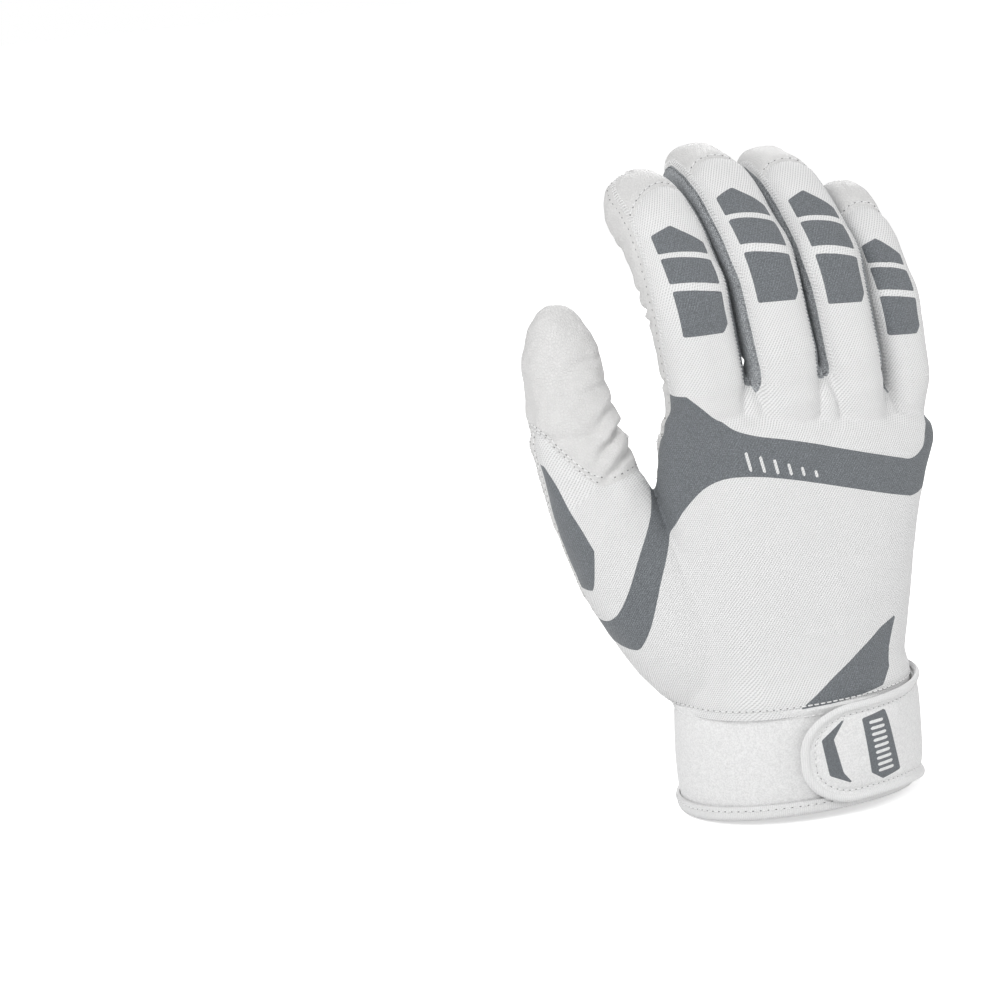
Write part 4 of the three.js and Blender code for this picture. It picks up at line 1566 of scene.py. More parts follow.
@dataclass(frozen=True)
class Plain:
    """A plain finish with a little noise, for thread, hooks and the dark dashes of painted shade at needle
    holes.
    """

    name: str
    light: Colour
    dark: Colour
    roughness: float = 0.7
    size: float = 0.4

    def material(self) -> Material:
        """Builds the material."""
        tree = Tree(self.name)
        fuzz = tree.noise(self.size, 2.0, 0.6)
        colour = tree.blend(tree.span(fuzz, 0.3, 0.7), self.dark, self.light)
        return tree.coat(colour, self.roughness, 0.3, fuzz, 0.04, 0.5)


class Finishes:
    """Every material of the glove, made once."""

    def __init__(self) -> None:
        """Builds the materials."""
        self.leather = Leather().material()
        self.knit = Knit().material()
        self.mesh = SideMesh().material()
        self.brushed = Brushed().material()
        self.binding = Binding().material()
        self.webbing = Webbing().material()
        self.thread = Plain("thread", grey(0.95), grey(0.86)).material()
        # Painted shade: dark grey dashes stand for the shadow in the needle holes where the thread dips in.
        self.hole = Plain("needle_hole", grey(0.50), grey(0.42), 0.9).material()
        self.grey_thread = Plain("grey_thread", grey(0.66), grey(0.52)).material()
        # Painted shade: darker dashes at the needle holes of the grey pull tab.
        self.dark_hole = Plain("dark_hole", grey(0.24), grey(0.18), 0.9).material()
        self.hook = Plain("hook_tape", grey(0.80), grey(0.70), 0.5).material()


# Pieces


@dataclass
class Carrier:
    """What a piece moves with: one body, or a bend between two."""

    body: Body
    bend_from: Body | None = None
    start: Array | None = None
    end: Array | None = None

    def carry(self, piece: bpy.types.Object) -> None:
        """Ties a finished piece to its body or bodies."""
        if self.bend_from is None:
            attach(piece, self.body.value)
            return
        start = tuple(float(value) * MM for value in self.start)
        end = tuple(float(value) * MM for value in self.end)
        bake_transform(piece, self.bend_from.value, self.body.value, start=start, end=end)


class Workshop:
    """Makes pieces of the scene from meshes in millimetres."""

    bevel_degrees = 50

    def __init__(self, finishes: Finishes) -> None:
        """Keeps the finishes and counts the pieces."""
        self.finishes = finishes
        self.count = 0

    def piece(
        self, name: str, mesh: BMesh | Mesh, finish: Material, slot: Slot,
        carrier: Carrier, nodes: Sequence[str] = (), wall: float = 0.0, sharp: float = 42.0,
        bevel: float = 0.0,
    ) -> bpy.types.Object:
        """Finishes one piece.

        Args:
            name: The piece's name.
            mesh: Its mesh in millimetres.
            finish: Its material.
            slot: The record's slot that the material stands for; not used.
            carrier: What it moves with.
            nodes: The CAD nodes that it replaces.
            wall: How thick the sheet becomes, inwards.
            sharp: Edges beyond this many degrees stay sharp.
            bevel: The round on its sharp edges.

        Returns:
            The finished object.
        """
        name = f"{name}_sewn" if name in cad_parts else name
        data = mesh_data(mesh, name) if isinstance(mesh, BMesh) else mesh
        piece = in_scene(name, data)
        if wall:
            shell = piece.modifiers.new("wall", "SOLIDIFY")
            shell.thickness = wall
            shell.offset = -1.0
            shell.use_even_offset = False
        if bevel:
            edge = piece.modifiers.new("edge", "BEVEL")
            edge.width = bevel
            edge.segments = 2
            edge.limit_method = "ANGLE"
            edge.angle_limit = math.radians(self.bevel_degrees)
        if wall or bevel:
            whole = evaluated(piece)
            piece.modifiers.clear()
            piece.data = whole
            bpy.data.meshes.remove(data)
            data = whole
        data.name = name
        data.transform(Matrix.Scale(MM, 4))
        data.shade_smooth()
        data.set_sharp_from_angle(angle=math.radians(sharp))
        data.materials.clear()
        data.materials.append(finish)
        if nodes:
            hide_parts(*nodes)
        carrier.carry(piece)
        self.count += 1
        log.info("%s: %d faces", name, len(data.polygons))
        return piece


def write_cloth_map(mesh: BMesh, u_name: str, v_name: str) -> None:
    """Writes the cloth map of a mesh from two of its fields."""
    u, v = mesh.verts.layers.float[u_name], mesh.verts.layers.float[v_name]
    cloth = mesh.loops.layers.uv.new("cloth")
    for face in mesh.faces:
        for loop in face.loops:
            loop[cloth].uv = (loop.vert[u], loop.vert[v])


def write_print(mesh: BMesh, name: str) -> None:
    """Marks each face's corners as printed or plain, from a field."""
    depth = mesh.verts.layers.float[name]
    mark = mesh.loops.layers.color.new("print")
    for face in mesh.faces:
        value = float(sum(vert[depth] for vert in face.verts) > 0)
        for loop in face.loops:
            loop[mark] = (value, value, value, 1.0)


class HandBuilder:
    """Builds the hand, finger and thumb panels with their seams."""

    wall = 0.9
    slit_binding_radius = 0.95
    overlock_lean = 0.35
    overlock_length = 1.9
    overlock_thick = 0.85
    stitch_share = 0.72

    def __init__(self, shop: Workshop, hand: Hand) -> None:
        """Makes the skin and cuts it into panels."""
        self.shop = shop
        self.hand = hand
        self.skin = Skin(hand)
        self.tracer = Tracer(self.skin)
        self.thread = Thread()

    def carrier(self, body: Body) -> Carrier:
        """What pieces on a body move with."""
        if body in (Body.HAND, Body.STRAP, Body.LOOP):
            return Carrier(body)
        if body is Body.THUMB:
            start, way = self.skin.plan.thumb_plane()
            return Carrier(body, Body.HAND, start, start + way * self.skin.plan.thumb_bend)
        sleeve = self.hand.sleeves[body.name.lower()]
        start = sleeve.at(self.skin.plan.fold_start[body.name.lower()])[0]
        return Carrier(body, Body.HAND, start, sleeve.at(self.skin.plan.finger_bend)[0])

    def panel(self, faces: list) -> BMesh:
        """A mesh of its own for one panel."""
        part = self.skin.mesh.copy()
        part.faces.ensure_lookup_table()
        keep = {face.index for face in faces}
        drop_faces(part, lambda face: face.index not in keep)
        return part

    def build(self) -> None:
        """Makes every panel."""
        finishes = self.shop.finishes
        self.skin.mesh.faces.index_update()
        for name, faces in self.skin.sort().items():
            body = next((body for body in Body if name.startswith(body.name.lower() + "_")), Body.HAND)
            part = self.panel(faces)
            kind = "thumb" if body is Body.THUMB else "hand" if body is Body.HAND else "finger"
            write_cloth_map(part, f"{kind}_u", f"{kind}_v")
            finish, slot = finishes.leather, Slot.LEATHER
            if "knit" in name:
                finish, slot = finishes.knit, Slot.KNIT
                write_print(part, "print_finger" if kind == "finger" else "print_hand")
            elif "mesh" in name or "crotch" in name:
                finish, slot = finishes.mesh, Slot.MESH
            drop_fields(part, self.skin.names)
            nodes = [node for node in (name, self.fold_node(name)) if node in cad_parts]
            self.shop.piece(name, part, finish, slot, self.carrier(body), nodes, wall=self.wall)

    def body_at(self, values: dict[str, float]) -> Body:
        """The body that carries a place with these values."""
        if values["cut"] > 0:
            return Body[list(self.hand.sleeves)[int(round(values["finger"]))].upper()]
        return Body.THUMB if values["thumb_cut"] > 0 else Body.HAND

    def sew(self) -> None:
        """Stitches along the seams, with needle holes in the leather drawn as dark dashes of painted shade.
        """

        def on_hand(v: dict[str, Array]) -> Array:
            return (v["cut"] < 0) & (v["thumb_cut"] < 0) & (v["foot"] > 1)

        def on_thumb_back(v: dict[str, Array]) -> Array:
            return (v["thumb_cut"] > 0) & (v["thumb_f"] < 6)

        # Every row but the overlock gets dark dashes of painted shade at its needle holes, and some rows get
        # nothing else.
        rows = [
            ("front", 1.3, lambda v: (v["cut"] > 0) & (v["t"] > 1), 2.3, "hole"),
            ("front", 1.5, lambda v: on_hand(v) & (v["slit"] < -3), 2.4, "hole"),
            ("back", 1.0, lambda v: v["cut"] > 0, 1.15, "overlock"),
            ("cap", 1.2, lambda v: (v["cut"] > 0) & (v["back"] > 1), 2.2, "stitch"),
            ("thenar", 1.0, lambda v: on_hand(v) & (v["front"] > 1), 2.1, "stitch"),
            ("thenar", 3.0, lambda v: on_hand(v) & (v["front"] > 1), 2.1, "stitch"),
            ("back", -1.0, on_thumb_back, 2.0, "stitch"),
            ("back", -3.0, on_thumb_back, 2.0, "stitch"),
            ("foot", 1.5, lambda v: v["slit"] < -2, 2.0, "stitch"),
        ]
        for name, level, keep, pitch, kind in rows:
            for trail in self.tracer.lines(name, level, keep):
                for place, normal, way, values in trail.along(pitch):
                    body = self.body_at(values)
                    if kind == "overlock":
                        aside = np.cross(normal, way) + way * self.overlock_lean
                        sizes = (self.overlock_length, self.overlock_thick)
                        self.thread.stitch("overlock", body, place, normal, aside, *sizes)
                    elif kind == "stitch":
                        length = pitch * self.stitch_share
                        self.thread.stitch("seam_stitches", body, place, normal, way, length)
                    # Painted shade: a dark dash at the needle hole after each place.
                    if kind != "overlock":
                        self.thread.hole("needle_holes", body, place + way * pitch * 0.5, normal, way)
        self.slit_binding()
        finishes = self.shop.finishes
        named = {"tab_stitches": finishes.grey_thread, "tab_holes": finishes.dark_hole}
        for kind, body in sorted(self.thread.runs, key=lambda run: (run[1].value, run[0])):
            finish = named.get(kind, finishes.hole if "holes" in kind else finishes.thread)
            name = f"{body.value}_{kind}"
            mesh = tubes_along(name, self.thread.runs[(kind, body)], self.thread.radius, 1)
            self.shop.piece(name, mesh, finish, Slot.BINDING, self.carrier(body), sharp=60)

    def slit_binding(self) -> None:
        """The rolled binding round the edge of the wrist slit."""
        trails = self.tracer.lines("slit", -0.35, lambda v: v["foot"] > -1.0)
        name = "wrist_slit_binding"
        lines = [[place for place, _, _, _ in trail.along(0.8)] for trail in trails]
        runs = [(places, [1.0] * len(places)) for places in lines]
        mesh = tubes_along(name, runs, self.slit_binding_radius, 3)
        mesh.uv_layers.new(name="cloth")
        finish = self.shop.finishes.binding
        self.shop.piece(name, mesh, finish, Slot.BINDING, self.carrier(Body.HAND), [name], sharp=60)

    def fold_node(self, name: str) -> str:
        """The CAD node of a fold, which the blended panel of that finger stands for, or nothing."""
        first = name.split("_")[0]
        if name == f"{first}_front_leather":
            return f"{first}_crease_leather"
        if name in ("thumb_base_knit", f"{first}_back_knit"):
            return f"{first}_knuckle_knit"
        return ""


# Cuff, strap and pull tab


def strip(columns: int, rows: int) -> BMesh:
    """A flat grid whose corners run from 0 to 1 both ways."""
    mesh = bmesh.new()
    bmesh.ops.create_grid(mesh, x_segments=columns, y_segments=rows, size=0.5)
    bmesh.ops.translate(mesh, verts=mesh.verts, vec=(0.5, 0.5, 0.0))
    return mesh


def lay(
    mesh: BMesh, place: Callable[[float, float], Vector],
    cloth: Callable[[float, float], tuple[float, float]],
) -> None:
    """Lays a flat mesh on its curved place and keeps its cloth map."""
    layer = mesh.loops.layers.uv.new("cloth")
    for face in mesh.faces:
        for loop in face.loops:
            loop[layer].uv = cloth(loop.vert.co.x, loop.vert.co.y)
    for vert in mesh.verts:
        vert.co = place(vert.co.x, vert.co.y)


def outward_faces(mesh: BMesh) -> None:
    """Turns a sheet round the cuff so that its faces look away from the hand."""
    bmesh.ops.recalc_face_normals(mesh, faces=mesh.faces)
    outward = 0.0
    for face in mesh.faces:
        outward += face.normal.dot(face.calc_center_median().xy.to_3d()) * face.calc_area()
    if outward < 0:
        bmesh.ops.reverse_faces(mesh, faces=mesh.faces)


@dataclass
class Cuff:
    """The brushed cuff with its hem binding, the corded seam and the places that other parts sit on."""

    half_width: float = 36.5
    half_depth: float = 28.0
    height: float = 34.0
    wall: float = 2.4
    start: float = 30.0
    end: float = 345.0
    hem_height: float = 5.0
    hem_skin: float = 0.9
    gap: float = 0.3
    piping_degrees: float = 29.4
    piping_under: float = 23.0
    piping_over: float = 31.8
    piping_stand: float = 2.0
    back_rise: float = 2.5
    columns: int = 150
    piping_stitches: int = 15
    row_pitch: float = 2.1
    hem_row_lift: float = 1.2
    band_over: float = 0.4
    stitch_length: float = 1.4
    least_piping: float = 0.15

    def point(self, degrees: float, offset: float, height: float) -> Vector:
        """A place round the cuff, at an offset from its outer face."""
        turn = math.radians(degrees)
        back = max(0.0, -math.sin(turn)) ** 1.5
        rise = self.back_rise * back * max(0.0, 1 - height / self.height)
        wide, deep = self.half_width + offset, self.half_depth + offset
        return Vector((wide * math.cos(turn), deep * math.sin(turn), height + rise))

    def arc(self, degrees: float) -> float:
        """The length round the cuff to an angle, in millimetres."""
        return math.radians(degrees) * (self.half_width + self.half_depth) / 2

    def build(self, shop: Workshop, thread: Thread) -> None:
        """Makes the cuff's pieces and their thread."""
        foot = self.hem_skin + self.gap
        rise = self.height + self.band_over - foot
        band = strip(self.columns, 22)
        lay(
            band,
            lambda u, v: self.point(self.angle(u), self.swell(self.angle(u), v), foot + rise * v),
            lambda u, v: (self.arc(self.angle(u)), foot + rise * v),
        )
        self.add(shop, "cuff_band", band, shop.finishes.brushed, Slot.BRUSHED, self.wall, 0.35)
        self.hem(shop)
        self.piping(shop, thread)
        for height, lift in ((self.height - 1.7, None), (self.hem_height - 1.3, self.hem_row_lift)):
            self.row(thread, height, lift, foot, rise)

    def add(
        self, shop: Workshop, name: str, mesh: BMesh, finish: Material, slot: Slot,
        wall: float, bevel: float = 0.0,
    ) -> None:
        """Finishes one piece of the cuff, which stands in for the node of its name."""
        shop.piece(name, mesh, finish, slot, Carrier(Body.HAND), [name], wall=wall, bevel=bevel)

    def angle(self, share: float) -> float:
        """The angle at a share of the way round the cuff."""
        return self.start + (self.end - self.start) * share

    def swell(self, degrees: float, share: float) -> float:
        """How far the band's face stands out at an angle and at a share of its height."""
        top = math.exp(-(((share - 0.93) / 0.035) ** 2))
        low = math.exp(-(((share - 0.12) / 0.05) ** 2))
        wave = 0.35 * math.sin(math.radians(degrees) * 5 + 2.2 * share) * math.sin(math.pi * share)
        lip = 0.75 * max(0.0, share - 0.9) / 0.1
        return 0.5 * math.sin(math.pi * share) - 0.5 * top - 0.3 * low + wave + lip

    def hem(self, shop: Workshop) -> None:
        """Makes the binding folded round the hem."""
        outer = self.gap + self.hem_skin
        inner = -self.wall - self.gap - self.hem_skin
        middle, radius = (outer + inner) / 2, (outer - inner) / 2
        straight = self.hem_height - radius

        def section(share: float) -> tuple[float, float]:
            run = share * (2 * straight + math.pi * radius)
            if run < straight:
                return outer, self.hem_height - run
            if run > straight + math.pi * radius:
                return inner, run - math.pi * radius - straight + radius
            turn = (run - straight) / radius
            return middle + radius * math.cos(turn), radius - radius * math.sin(turn)

        hem = strip(self.columns, 18)
        lay(
            hem,
            lambda u, v: self.point(self.angle(u), *section(v)),
            lambda u, v: (self.arc(self.angle(u)), 14 * v),
        )
        bmesh.ops.recalc_face_normals(hem, faces=hem.faces)
        self.add(shop, "cuff_hem_binding", hem, shop.finishes.binding, Slot.BINDING, self.hem_skin)

    def piping(self, shop: Workshop, thread: Thread) -> None:
        """Makes the corded seam that the strap grows from, and its stitches."""
        under, over = self.piping_under, self.piping_over

        def raised(degrees: float) -> float:
            ridge = math.sqrt(max(0.0, 1 - abs((degrees - self.piping_degrees) / 2.1) ** 2.6))
            return self.piping_stand * ridge + self.least_piping

        def place(u: float, v: float) -> Vector:
            degrees = over + (under - over) * u
            return self.point(degrees, raised(degrees), 0.3 + (self.height - 0.3) * v)

        tape = strip(24, 24)
        lay(tape, place, lambda u, v: (40 * v, 3 * u))
        outward_faces(tape)
        self.add(shop, "strap_seam_piping", tape, shop.finishes.binding, Slot.BINDING, 0.9, 0.15)
        up = np.array([0.0, 0.0, 1.0])
        normal = np.array([math.cos(math.radians(28)), math.sin(math.radians(28)), 0])
        for number in range(self.piping_stitches):
            height = 1.8 + self.row_pitch * number
            middle = np.array(self.point(self.piping_degrees + 0.5, self.piping_stand + 0.1, height))
            thread.stitch("cuff_stitches", Body.HAND, middle, normal, up, self.stitch_length)
            # Painted shade at each needle hole.
            thread.hole("cuff_holes", Body.HAND, middle + [0, 0, 1.05], normal, up)

    def row(self, thread: Thread, height: float, lift: float | None, foot: float, rise: float) -> None:
        """One row of stitches round the cuff at a height.

        Args:
            thread: Gets the stitches.
            height: The row's height.
            lift: How far it stands off the cuff, or None where it lies on the band.
            foot: The band's lower edge.
            rise: The band's height.
        """
        count = int((self.arc(self.end) - self.arc(self.start)) / self.row_pitch)
        for number in range(count):
            degrees = self.angle((number + 0.5) / count)
            stand = self.swell(degrees, (height - foot) / rise) if lift is None else lift
            place = np.array(self.point(degrees, stand, height))
            way = np.array(self.point(degrees + 0.5, stand, height)) - place
            way /= np.linalg.norm(way)
            turn = math.radians(degrees)
            normal = np.array([math.cos(turn), math.sin(turn) * self.half_width / self.half_depth, 0])
            normal /= np.linalg.norm(normal)
            thread.stitch("cuff_stitches", Body.HAND, place, normal, way, self.stitch_length)
            # Painted shade at each needle hole.
            thread.hole("cuff_holes", Body.HAND, place + way * 1.1, normal, way)


@dataclass
class Strap:
    """The wrist strap: brushed panel, rolled rim, printed grip and the hook patch under its tab."""

    cuff: Cuff
    root: float = 26.8
    end: float = -107.5
    lift: float = 1.4
    height: float = 34.0
    wall: float = 1.8
    tab_height: float = 32.2
    tab_lift: float = 2.8
    tab_round: float = 14.0
    waist_start: float = 0.3
    waist_reach: float = 0.3
    rim: float = 2.4
    stand: float = 1.5
    hook_start: float = -100.0
    hook_end: float = -62.0
    hook_height: float = 18.0
    grip: Outline = ((-77.2, 28.8), (-65.6, 29.8), (-56.8, 9.4), (-68.0, 8.4), (-74.2, 11.2))
    grip_slots: int = 9
    slot_inset_share: float = 0.25
    slot_margin: float = 1.5
    slot_half: float = 0.5
    cell: float = 0.48
    hook_rows: int = 13
    hook_columns: int = 25
    bar: Outline = ((-86.8, 30.4), (-97.6, 24.6), (-95.0, 12.8), (-85.4, 9.4), (-89.2, 13.0), (-92.6, 24.4))
    slot_tall: float = 0.03
    sewn_inset: float = 1.3
    face_inset: float = 0.5
    roll: float = 0.95
    puff: float = 0.35
    puff_reach: float = 4.0
    groove: float = 0.4
    groove_width: float = 0.6
    ripple: float = 0.25
    stud_foot: float = 0.42
    stud_tip: float = 0.2
    stud_height: float = 0.6
    stud_sink: float = 0.9
    # Length and thickness of a stitch, way to its hole, length of the painted shade dash at a hole.
    stitches: tuple[float, float, float, float] = (1.4, 1.0, 1.1, 0.5)
    sewn_start: float = 1.5
    sewn_steps: int = 400
    round_steps: int = 60

    def length(self) -> float:
        """The strap's length round the cuff."""
        return self.cuff.arc(self.root) - self.cuff.arc(self.end)

    def edge(self, at: float) -> tuple[float, float]:
        """The strap's middle height and half height at a length along it."""
        waist = float(smooth((at / self.length() - self.waist_start) / self.waist_reach))
        middle_root = self.lift + self.height / 2
        middle_tab = self.tab_lift + self.tab_height / 2
        half = (self.height + (self.tab_height - self.height) * waist) / 2
        return middle_root + (middle_tab - middle_root) * waist, half

    def depth(self, at: float, height: float) -> float:
        """How far a place lies inside the strap's outline."""
        middle, half = self.edge(at)
        left = self.length() - at
        corner = self.tab_round
        x = max(0.0, corner - left)
        y = max(0.0, abs(height - middle) - (half - corner))
        if x > 0 or y > 0:
            return corner - math.hypot(x, y) if x > 0 else min(half - abs(height - middle), left)
        return min(corner, left)

    def place(self, at: float, offset: float, height: float) -> Vector:
        """A place on the strap."""
        share = at / self.length()
        return self.cuff.point(self.root + (self.end - self.root) * share, offset, height)

    def surface(self, at: float, height: float) -> float:
        """The offset of the strap's outer face at a place."""
        inner = self.depth(at, height)
        rolled = math.sqrt(max(0.0, 1 - min(1.0, abs(inner - self.rim / 2) / (self.rim / 2)) ** 2))
        body = self.puff * (1 - math.exp(-((max(0.0, inner - self.rim) / self.puff_reach) ** 2)))
        groove = -self.groove * math.exp(-(((inner - self.rim - self.sewn_inset) / self.groove_width) ** 2))
        lift = self.ripple * math.sin(at * 0.21 + 0.12 * height) * float(smooth((inner - self.rim) / 5))
        top = self.stand + self.wall - self.face_inset
        return top + (self.roll * rolled if inner < self.rim else body + groove + lift)

    def flat(self) -> BMesh:
        """The strap's flat blank in millimetres along and up, cut at its outline, its rim and its print."""
        length = self.length()
        mesh = strip(int(length / self.cell), int(self.height / self.cell))
        for vert in mesh.verts:
            middle, half = self.edge(vert.co.x * length)
            vert.co = Vector((vert.co.x * length, middle + (2 * vert.co.y - 1) * half, 0))
        points = np.array([vert.co[:2] for vert in mesh.verts])
        outline = np.array([self.depth(x, z) for x, z in points])
        degrees = self.root + (self.end - self.root) * points[:, 0] / length
        spots = np.stack([degrees, points[:, 1]], axis=1)
        scale = np.array([self.cuff.arc(1.0), 1.0])
        spots, grip_line, bar_line = (np.array(table) * scale for table in (spots, self.grip, self.bar))
        grip = inside(spots, grip_line, 0.5)
        left_top, right_top, right_foot, _, left_foot = grip_line
        high, low = left_top[1] - self.slot_margin, right_foot[1] + self.slot_margin
        for height in np.linspace(high, low, self.grip_slots):
            start = np.interp(height, (left_foot[1], left_top[1]), (left_foot[0], left_top[0]))
            end = np.interp(height, (right_foot[1], right_top[1]), (right_foot[0], right_top[0]))
            inset = (end - start) * self.slot_inset_share
            left, right, over = start + inset, end - inset, height + self.slot_tall
            line = ((left, height), (right, height), (right, over), (left, over))
            grip = np.minimum(grip, -inside(spots, line, self.slot_half))
        prints = np.maximum(grip, inside(spots, bar_line, 0.15))
        fields = {"outline": outline, "rim": outline - self.rim, "print": prints}
        write_fields(mesh, fields)
        for name in fields:
            score(mesh, name, list(fields))
        drop = mesh.verts.layers.float["outline"]
        drop_faces(mesh, lambda face: sum(vert[drop] for vert in face.verts) < 0)
        return mesh

    def build(self, shop: Workshop, thread: Thread) -> None:
        """Makes the strap's pieces and their thread."""
        finishes = shop.finishes
        strap = Carrier(Body.STRAP)
        whole = self.flat()
        for name, sign in (("strap_panel", 1.0), ("strap_binding", -1.0)):
            part = whole.copy()
            rim = part.verts.layers.float["rim"]
            drop_faces(part, lambda face: sign * sum(vert[rim] for vert in face.verts) < 0)
            write_print(part, "print")
            drop_fields(part, ("outline", "rim", "print"))
            lay(part, lambda x, y: self.place(x, self.surface(x, y), y), lambda x, y: (x, y))
            outward_faces(part)
            finish = finishes.brushed if sign > 0 else finishes.binding
            slot = Slot.BRUSHED if sign > 0 else Slot.BINDING
            shop.piece(name, part, finish, slot, strap, [name], wall=self.wall - self.face_inset, sharp=60)
        whole.free()

        patch = strip(40, 18)
        low = self.tab_lift + (self.tab_height - self.hook_height) / 2
        reach = self.hook_end - self.hook_start
        lay(
            patch,
            lambda u, v: self.cuff.point(self.hook_start + reach * u, self.stand, low + self.hook_height * v),
            lambda u, v: (40 * u, self.hook_height * v),
        )
        shop.piece("hook_patch", patch, finishes.hook, Slot.HOOK, strap, ["hook_patch"], wall=0.7, bevel=0.2)
        shop.piece("hook_studs", self.hooks(low), finishes.hook, Slot.HOOK, strap, sharp=60)
        self.sew(thread)

    def hooks(self, low: float) -> BMesh:
        """Rows of small studs on the inner face of the hook patch.

        Args:
            low: The patch's lower edge.

        Returns:
            The mesh of all studs.
        """
        mesh = bmesh.new()
        for column in range(self.hook_columns):
            degrees = self.hook_start + (self.hook_end - self.hook_start) * (column + 0.5) / self.hook_columns
            inward = self.cuff.point(degrees, -1.0, 0.0) - self.cuff.point(degrees, 0.0, 0.0)
            turn = inward.to_track_quat("Z", "Y").to_matrix()
            for row in range(self.hook_rows):
                height = low + self.hook_height * (row + 0.5) / self.hook_rows
                made = bmesh.ops.create_cone(
                    mesh, cap_ends=True, segments=5, radius1=self.stud_foot, radius2=self.stud_tip,
                    depth=self.stud_height,
                )
                bmesh.ops.rotate(mesh, verts=made["verts"], cent=(0, 0, 0), matrix=turn)
                place = self.cuff.point(degrees, self.stand - self.stud_sink, height)
                bmesh.ops.translate(mesh, verts=made["verts"], vec=place)
        return mesh

    def sew(self, thread: Thread) -> None:
        """Rows of stitches just inside the rim, with dashes of painted shade at their needle holes."""
        inset = self.rim + self.sewn_inset
        corner = self.tab_round
        run = self.length() - corner - self.sewn_start
        ats = [self.sewn_start + run * number / self.sewn_steps for number in range(self.sewn_steps + 1)]
        edges = [(at, *self.edge(at)) for at in ats]
        line = [(at, middle + half - inset) for at, middle, half in edges[:-1]]
        middle, half = self.edge(self.length())
        for number in range(self.round_steps + 1):
            turn = math.pi / 2 - math.pi * number / self.round_steps
            centre = middle + (half - corner) * (1 if turn > 0 else -1)
            x, y = (corner - inset) * math.cos(turn), (corner - inset) * math.sin(turn)
            line.append((self.length() - corner + x, centre + y))
        line += [(at, middle - half + inset) for at, middle, half in reversed(edges)]

        def face(at: float, height: float, lift: float) -> Vector:
            return self.place(at, self.surface(at, height) + lift, height)

        thread.row(("stitches", "holes"), Body.STRAP, face, line, self.stitches)


@dataclass
class PullTab:
    """The webbing pull tab: a flat sewn length above and a free folded loop below."""

    cuff: Cuff
    centre: float = 99.0
    width: float = 22.0
    top: float = 33.2
    stitch_height: float = 9.6
    wall: float = 1.1
    loop_gap: float = 0.8
    foot: float = 0.6
    flare_share: float = 0.1
    bend_length: float = 4.0
    loop_power: float = 0.42
    loop_wall: float = 0.95
    stand: float = 0.2
    belly: float = 0.5
    edge_drop: float = 0.35
    edge_width: float = 0.9
    sewn_drop: float = 0.3
    sewn_inset: float = 2.4
    sewn_width: float = 0.5
    side_rows: tuple[float, float] = (0.11, 0.89)
    cross_rows: tuple[float, float] = (0.035, 0.965)
    # Length and thickness of a stitch, way to its hole, length of the painted shade dash at a hole.
    stitches: tuple[float, float, float, float] = (1.2, 0.9, 0.95, 0.7)

    def angle(self, share: float) -> float:
        """The angle round the cuff at a share of the webbing's width."""
        half = math.degrees(self.width / 2 / self.cuff.half_width)
        return self.centre - half + 2 * half * share

    def build(self, shop: Workshop, thread: Thread) -> None:
        """Makes the sewn length, the loop and their thread."""
        rise = self.top - self.stitch_height
        flat = strip(36, 40)
        lay(flat, lambda u, v: self.sewn(u, v, 0.0), lambda u, v: (self.width * u, rise * v))
        name, webbing = "pull_tab_webbing", shop.finishes.webbing
        hand = Carrier(Body.HAND)
        shop.piece(name, flat, webbing, Slot.WEBBING, hand, [name], wall=2 * self.wall, bevel=0.3)
        inner = self.cuff.hem_skin + 2 * self.cuff.gap
        deep = 2 * self.wall + self.loop_gap
        loop_top = self.stitch_height - self.cuff.gap
        high = loop_top - self.foot
        loop = strip(30, 44)

        def section(share: float) -> tuple[float, float]:
            turn = 2 * math.pi * share
            x, z = (
                math.copysign(abs(value) ** self.loop_power, value) * size / 2
                for value, size in ((math.cos(turn), deep), (math.sin(turn), high))
            )
            return inner + deep / 2 + x, self.foot + high / 2 + z

        def spread(u: float, v: float) -> float:
            down = (loop_top - section(v)[1]) / high
            return 0.5 + (u - 0.5) * (1 + self.flare_share * down)

        lay(
            loop,
            lambda u, v: self.cuff.point(self.angle(spread(u, v)), *section(v)),
            lambda u, v: (self.width * u, 2 * (high + deep) * v),
        )
        bmesh.ops.remove_doubles(loop, verts=loop.verts, dist=0.001)
        bmesh.ops.recalc_face_normals(loop, faces=loop.faces)
        root = np.array(self.cuff.point(self.centre, inner, loop_top))
        bend = Carrier(Body.LOOP, Body.HAND, root, root - np.array([0.0, 0.0, self.bend_length]))
        name = "pull_tab_loop"
        shop.piece(name, loop, webbing, Slot.WEBBING, bend, [name], wall=self.loop_wall, bevel=0.2)
        self.sew(thread)

    def sewn(self, u: float, v: float, lift: float) -> Vector:
        """A place on the sewn length, at shares of its width and height, and at a height over it."""
        edge = min(u, 1 - u) * self.width
        face = self.cuff.gap + 2 * self.wall + self.stand + self.belly * math.sin(math.pi * v)
        face -= self.edge_drop * math.exp(-((edge / self.edge_width) ** 2))
        face -= self.sewn_drop * math.exp(-(((edge - self.sewn_inset) / self.sewn_width) ** 2))
        height = self.stitch_height + (self.top - self.stitch_height) * v
        return self.cuff.point(self.angle(u), face + lift, height)

    def sew(self, thread: Thread) -> None:
        """The dotted side rows and the cross rows at the foot and at the top, with dark dashes of painted
        shade at their needle holes.
        """
        rows = [[(share, 0.03 + 0.94 * number / 40) for number in range(41)] for share in self.side_rows]
        rows += [[(0.06 + 0.88 * number / 30, height) for number in range(31)] for height in self.cross_rows]
        for row in rows:
            thread.row(("tab_stitches", "tab_holes"), Body.HAND, self.sewn, row, self.stitches)


# Studio


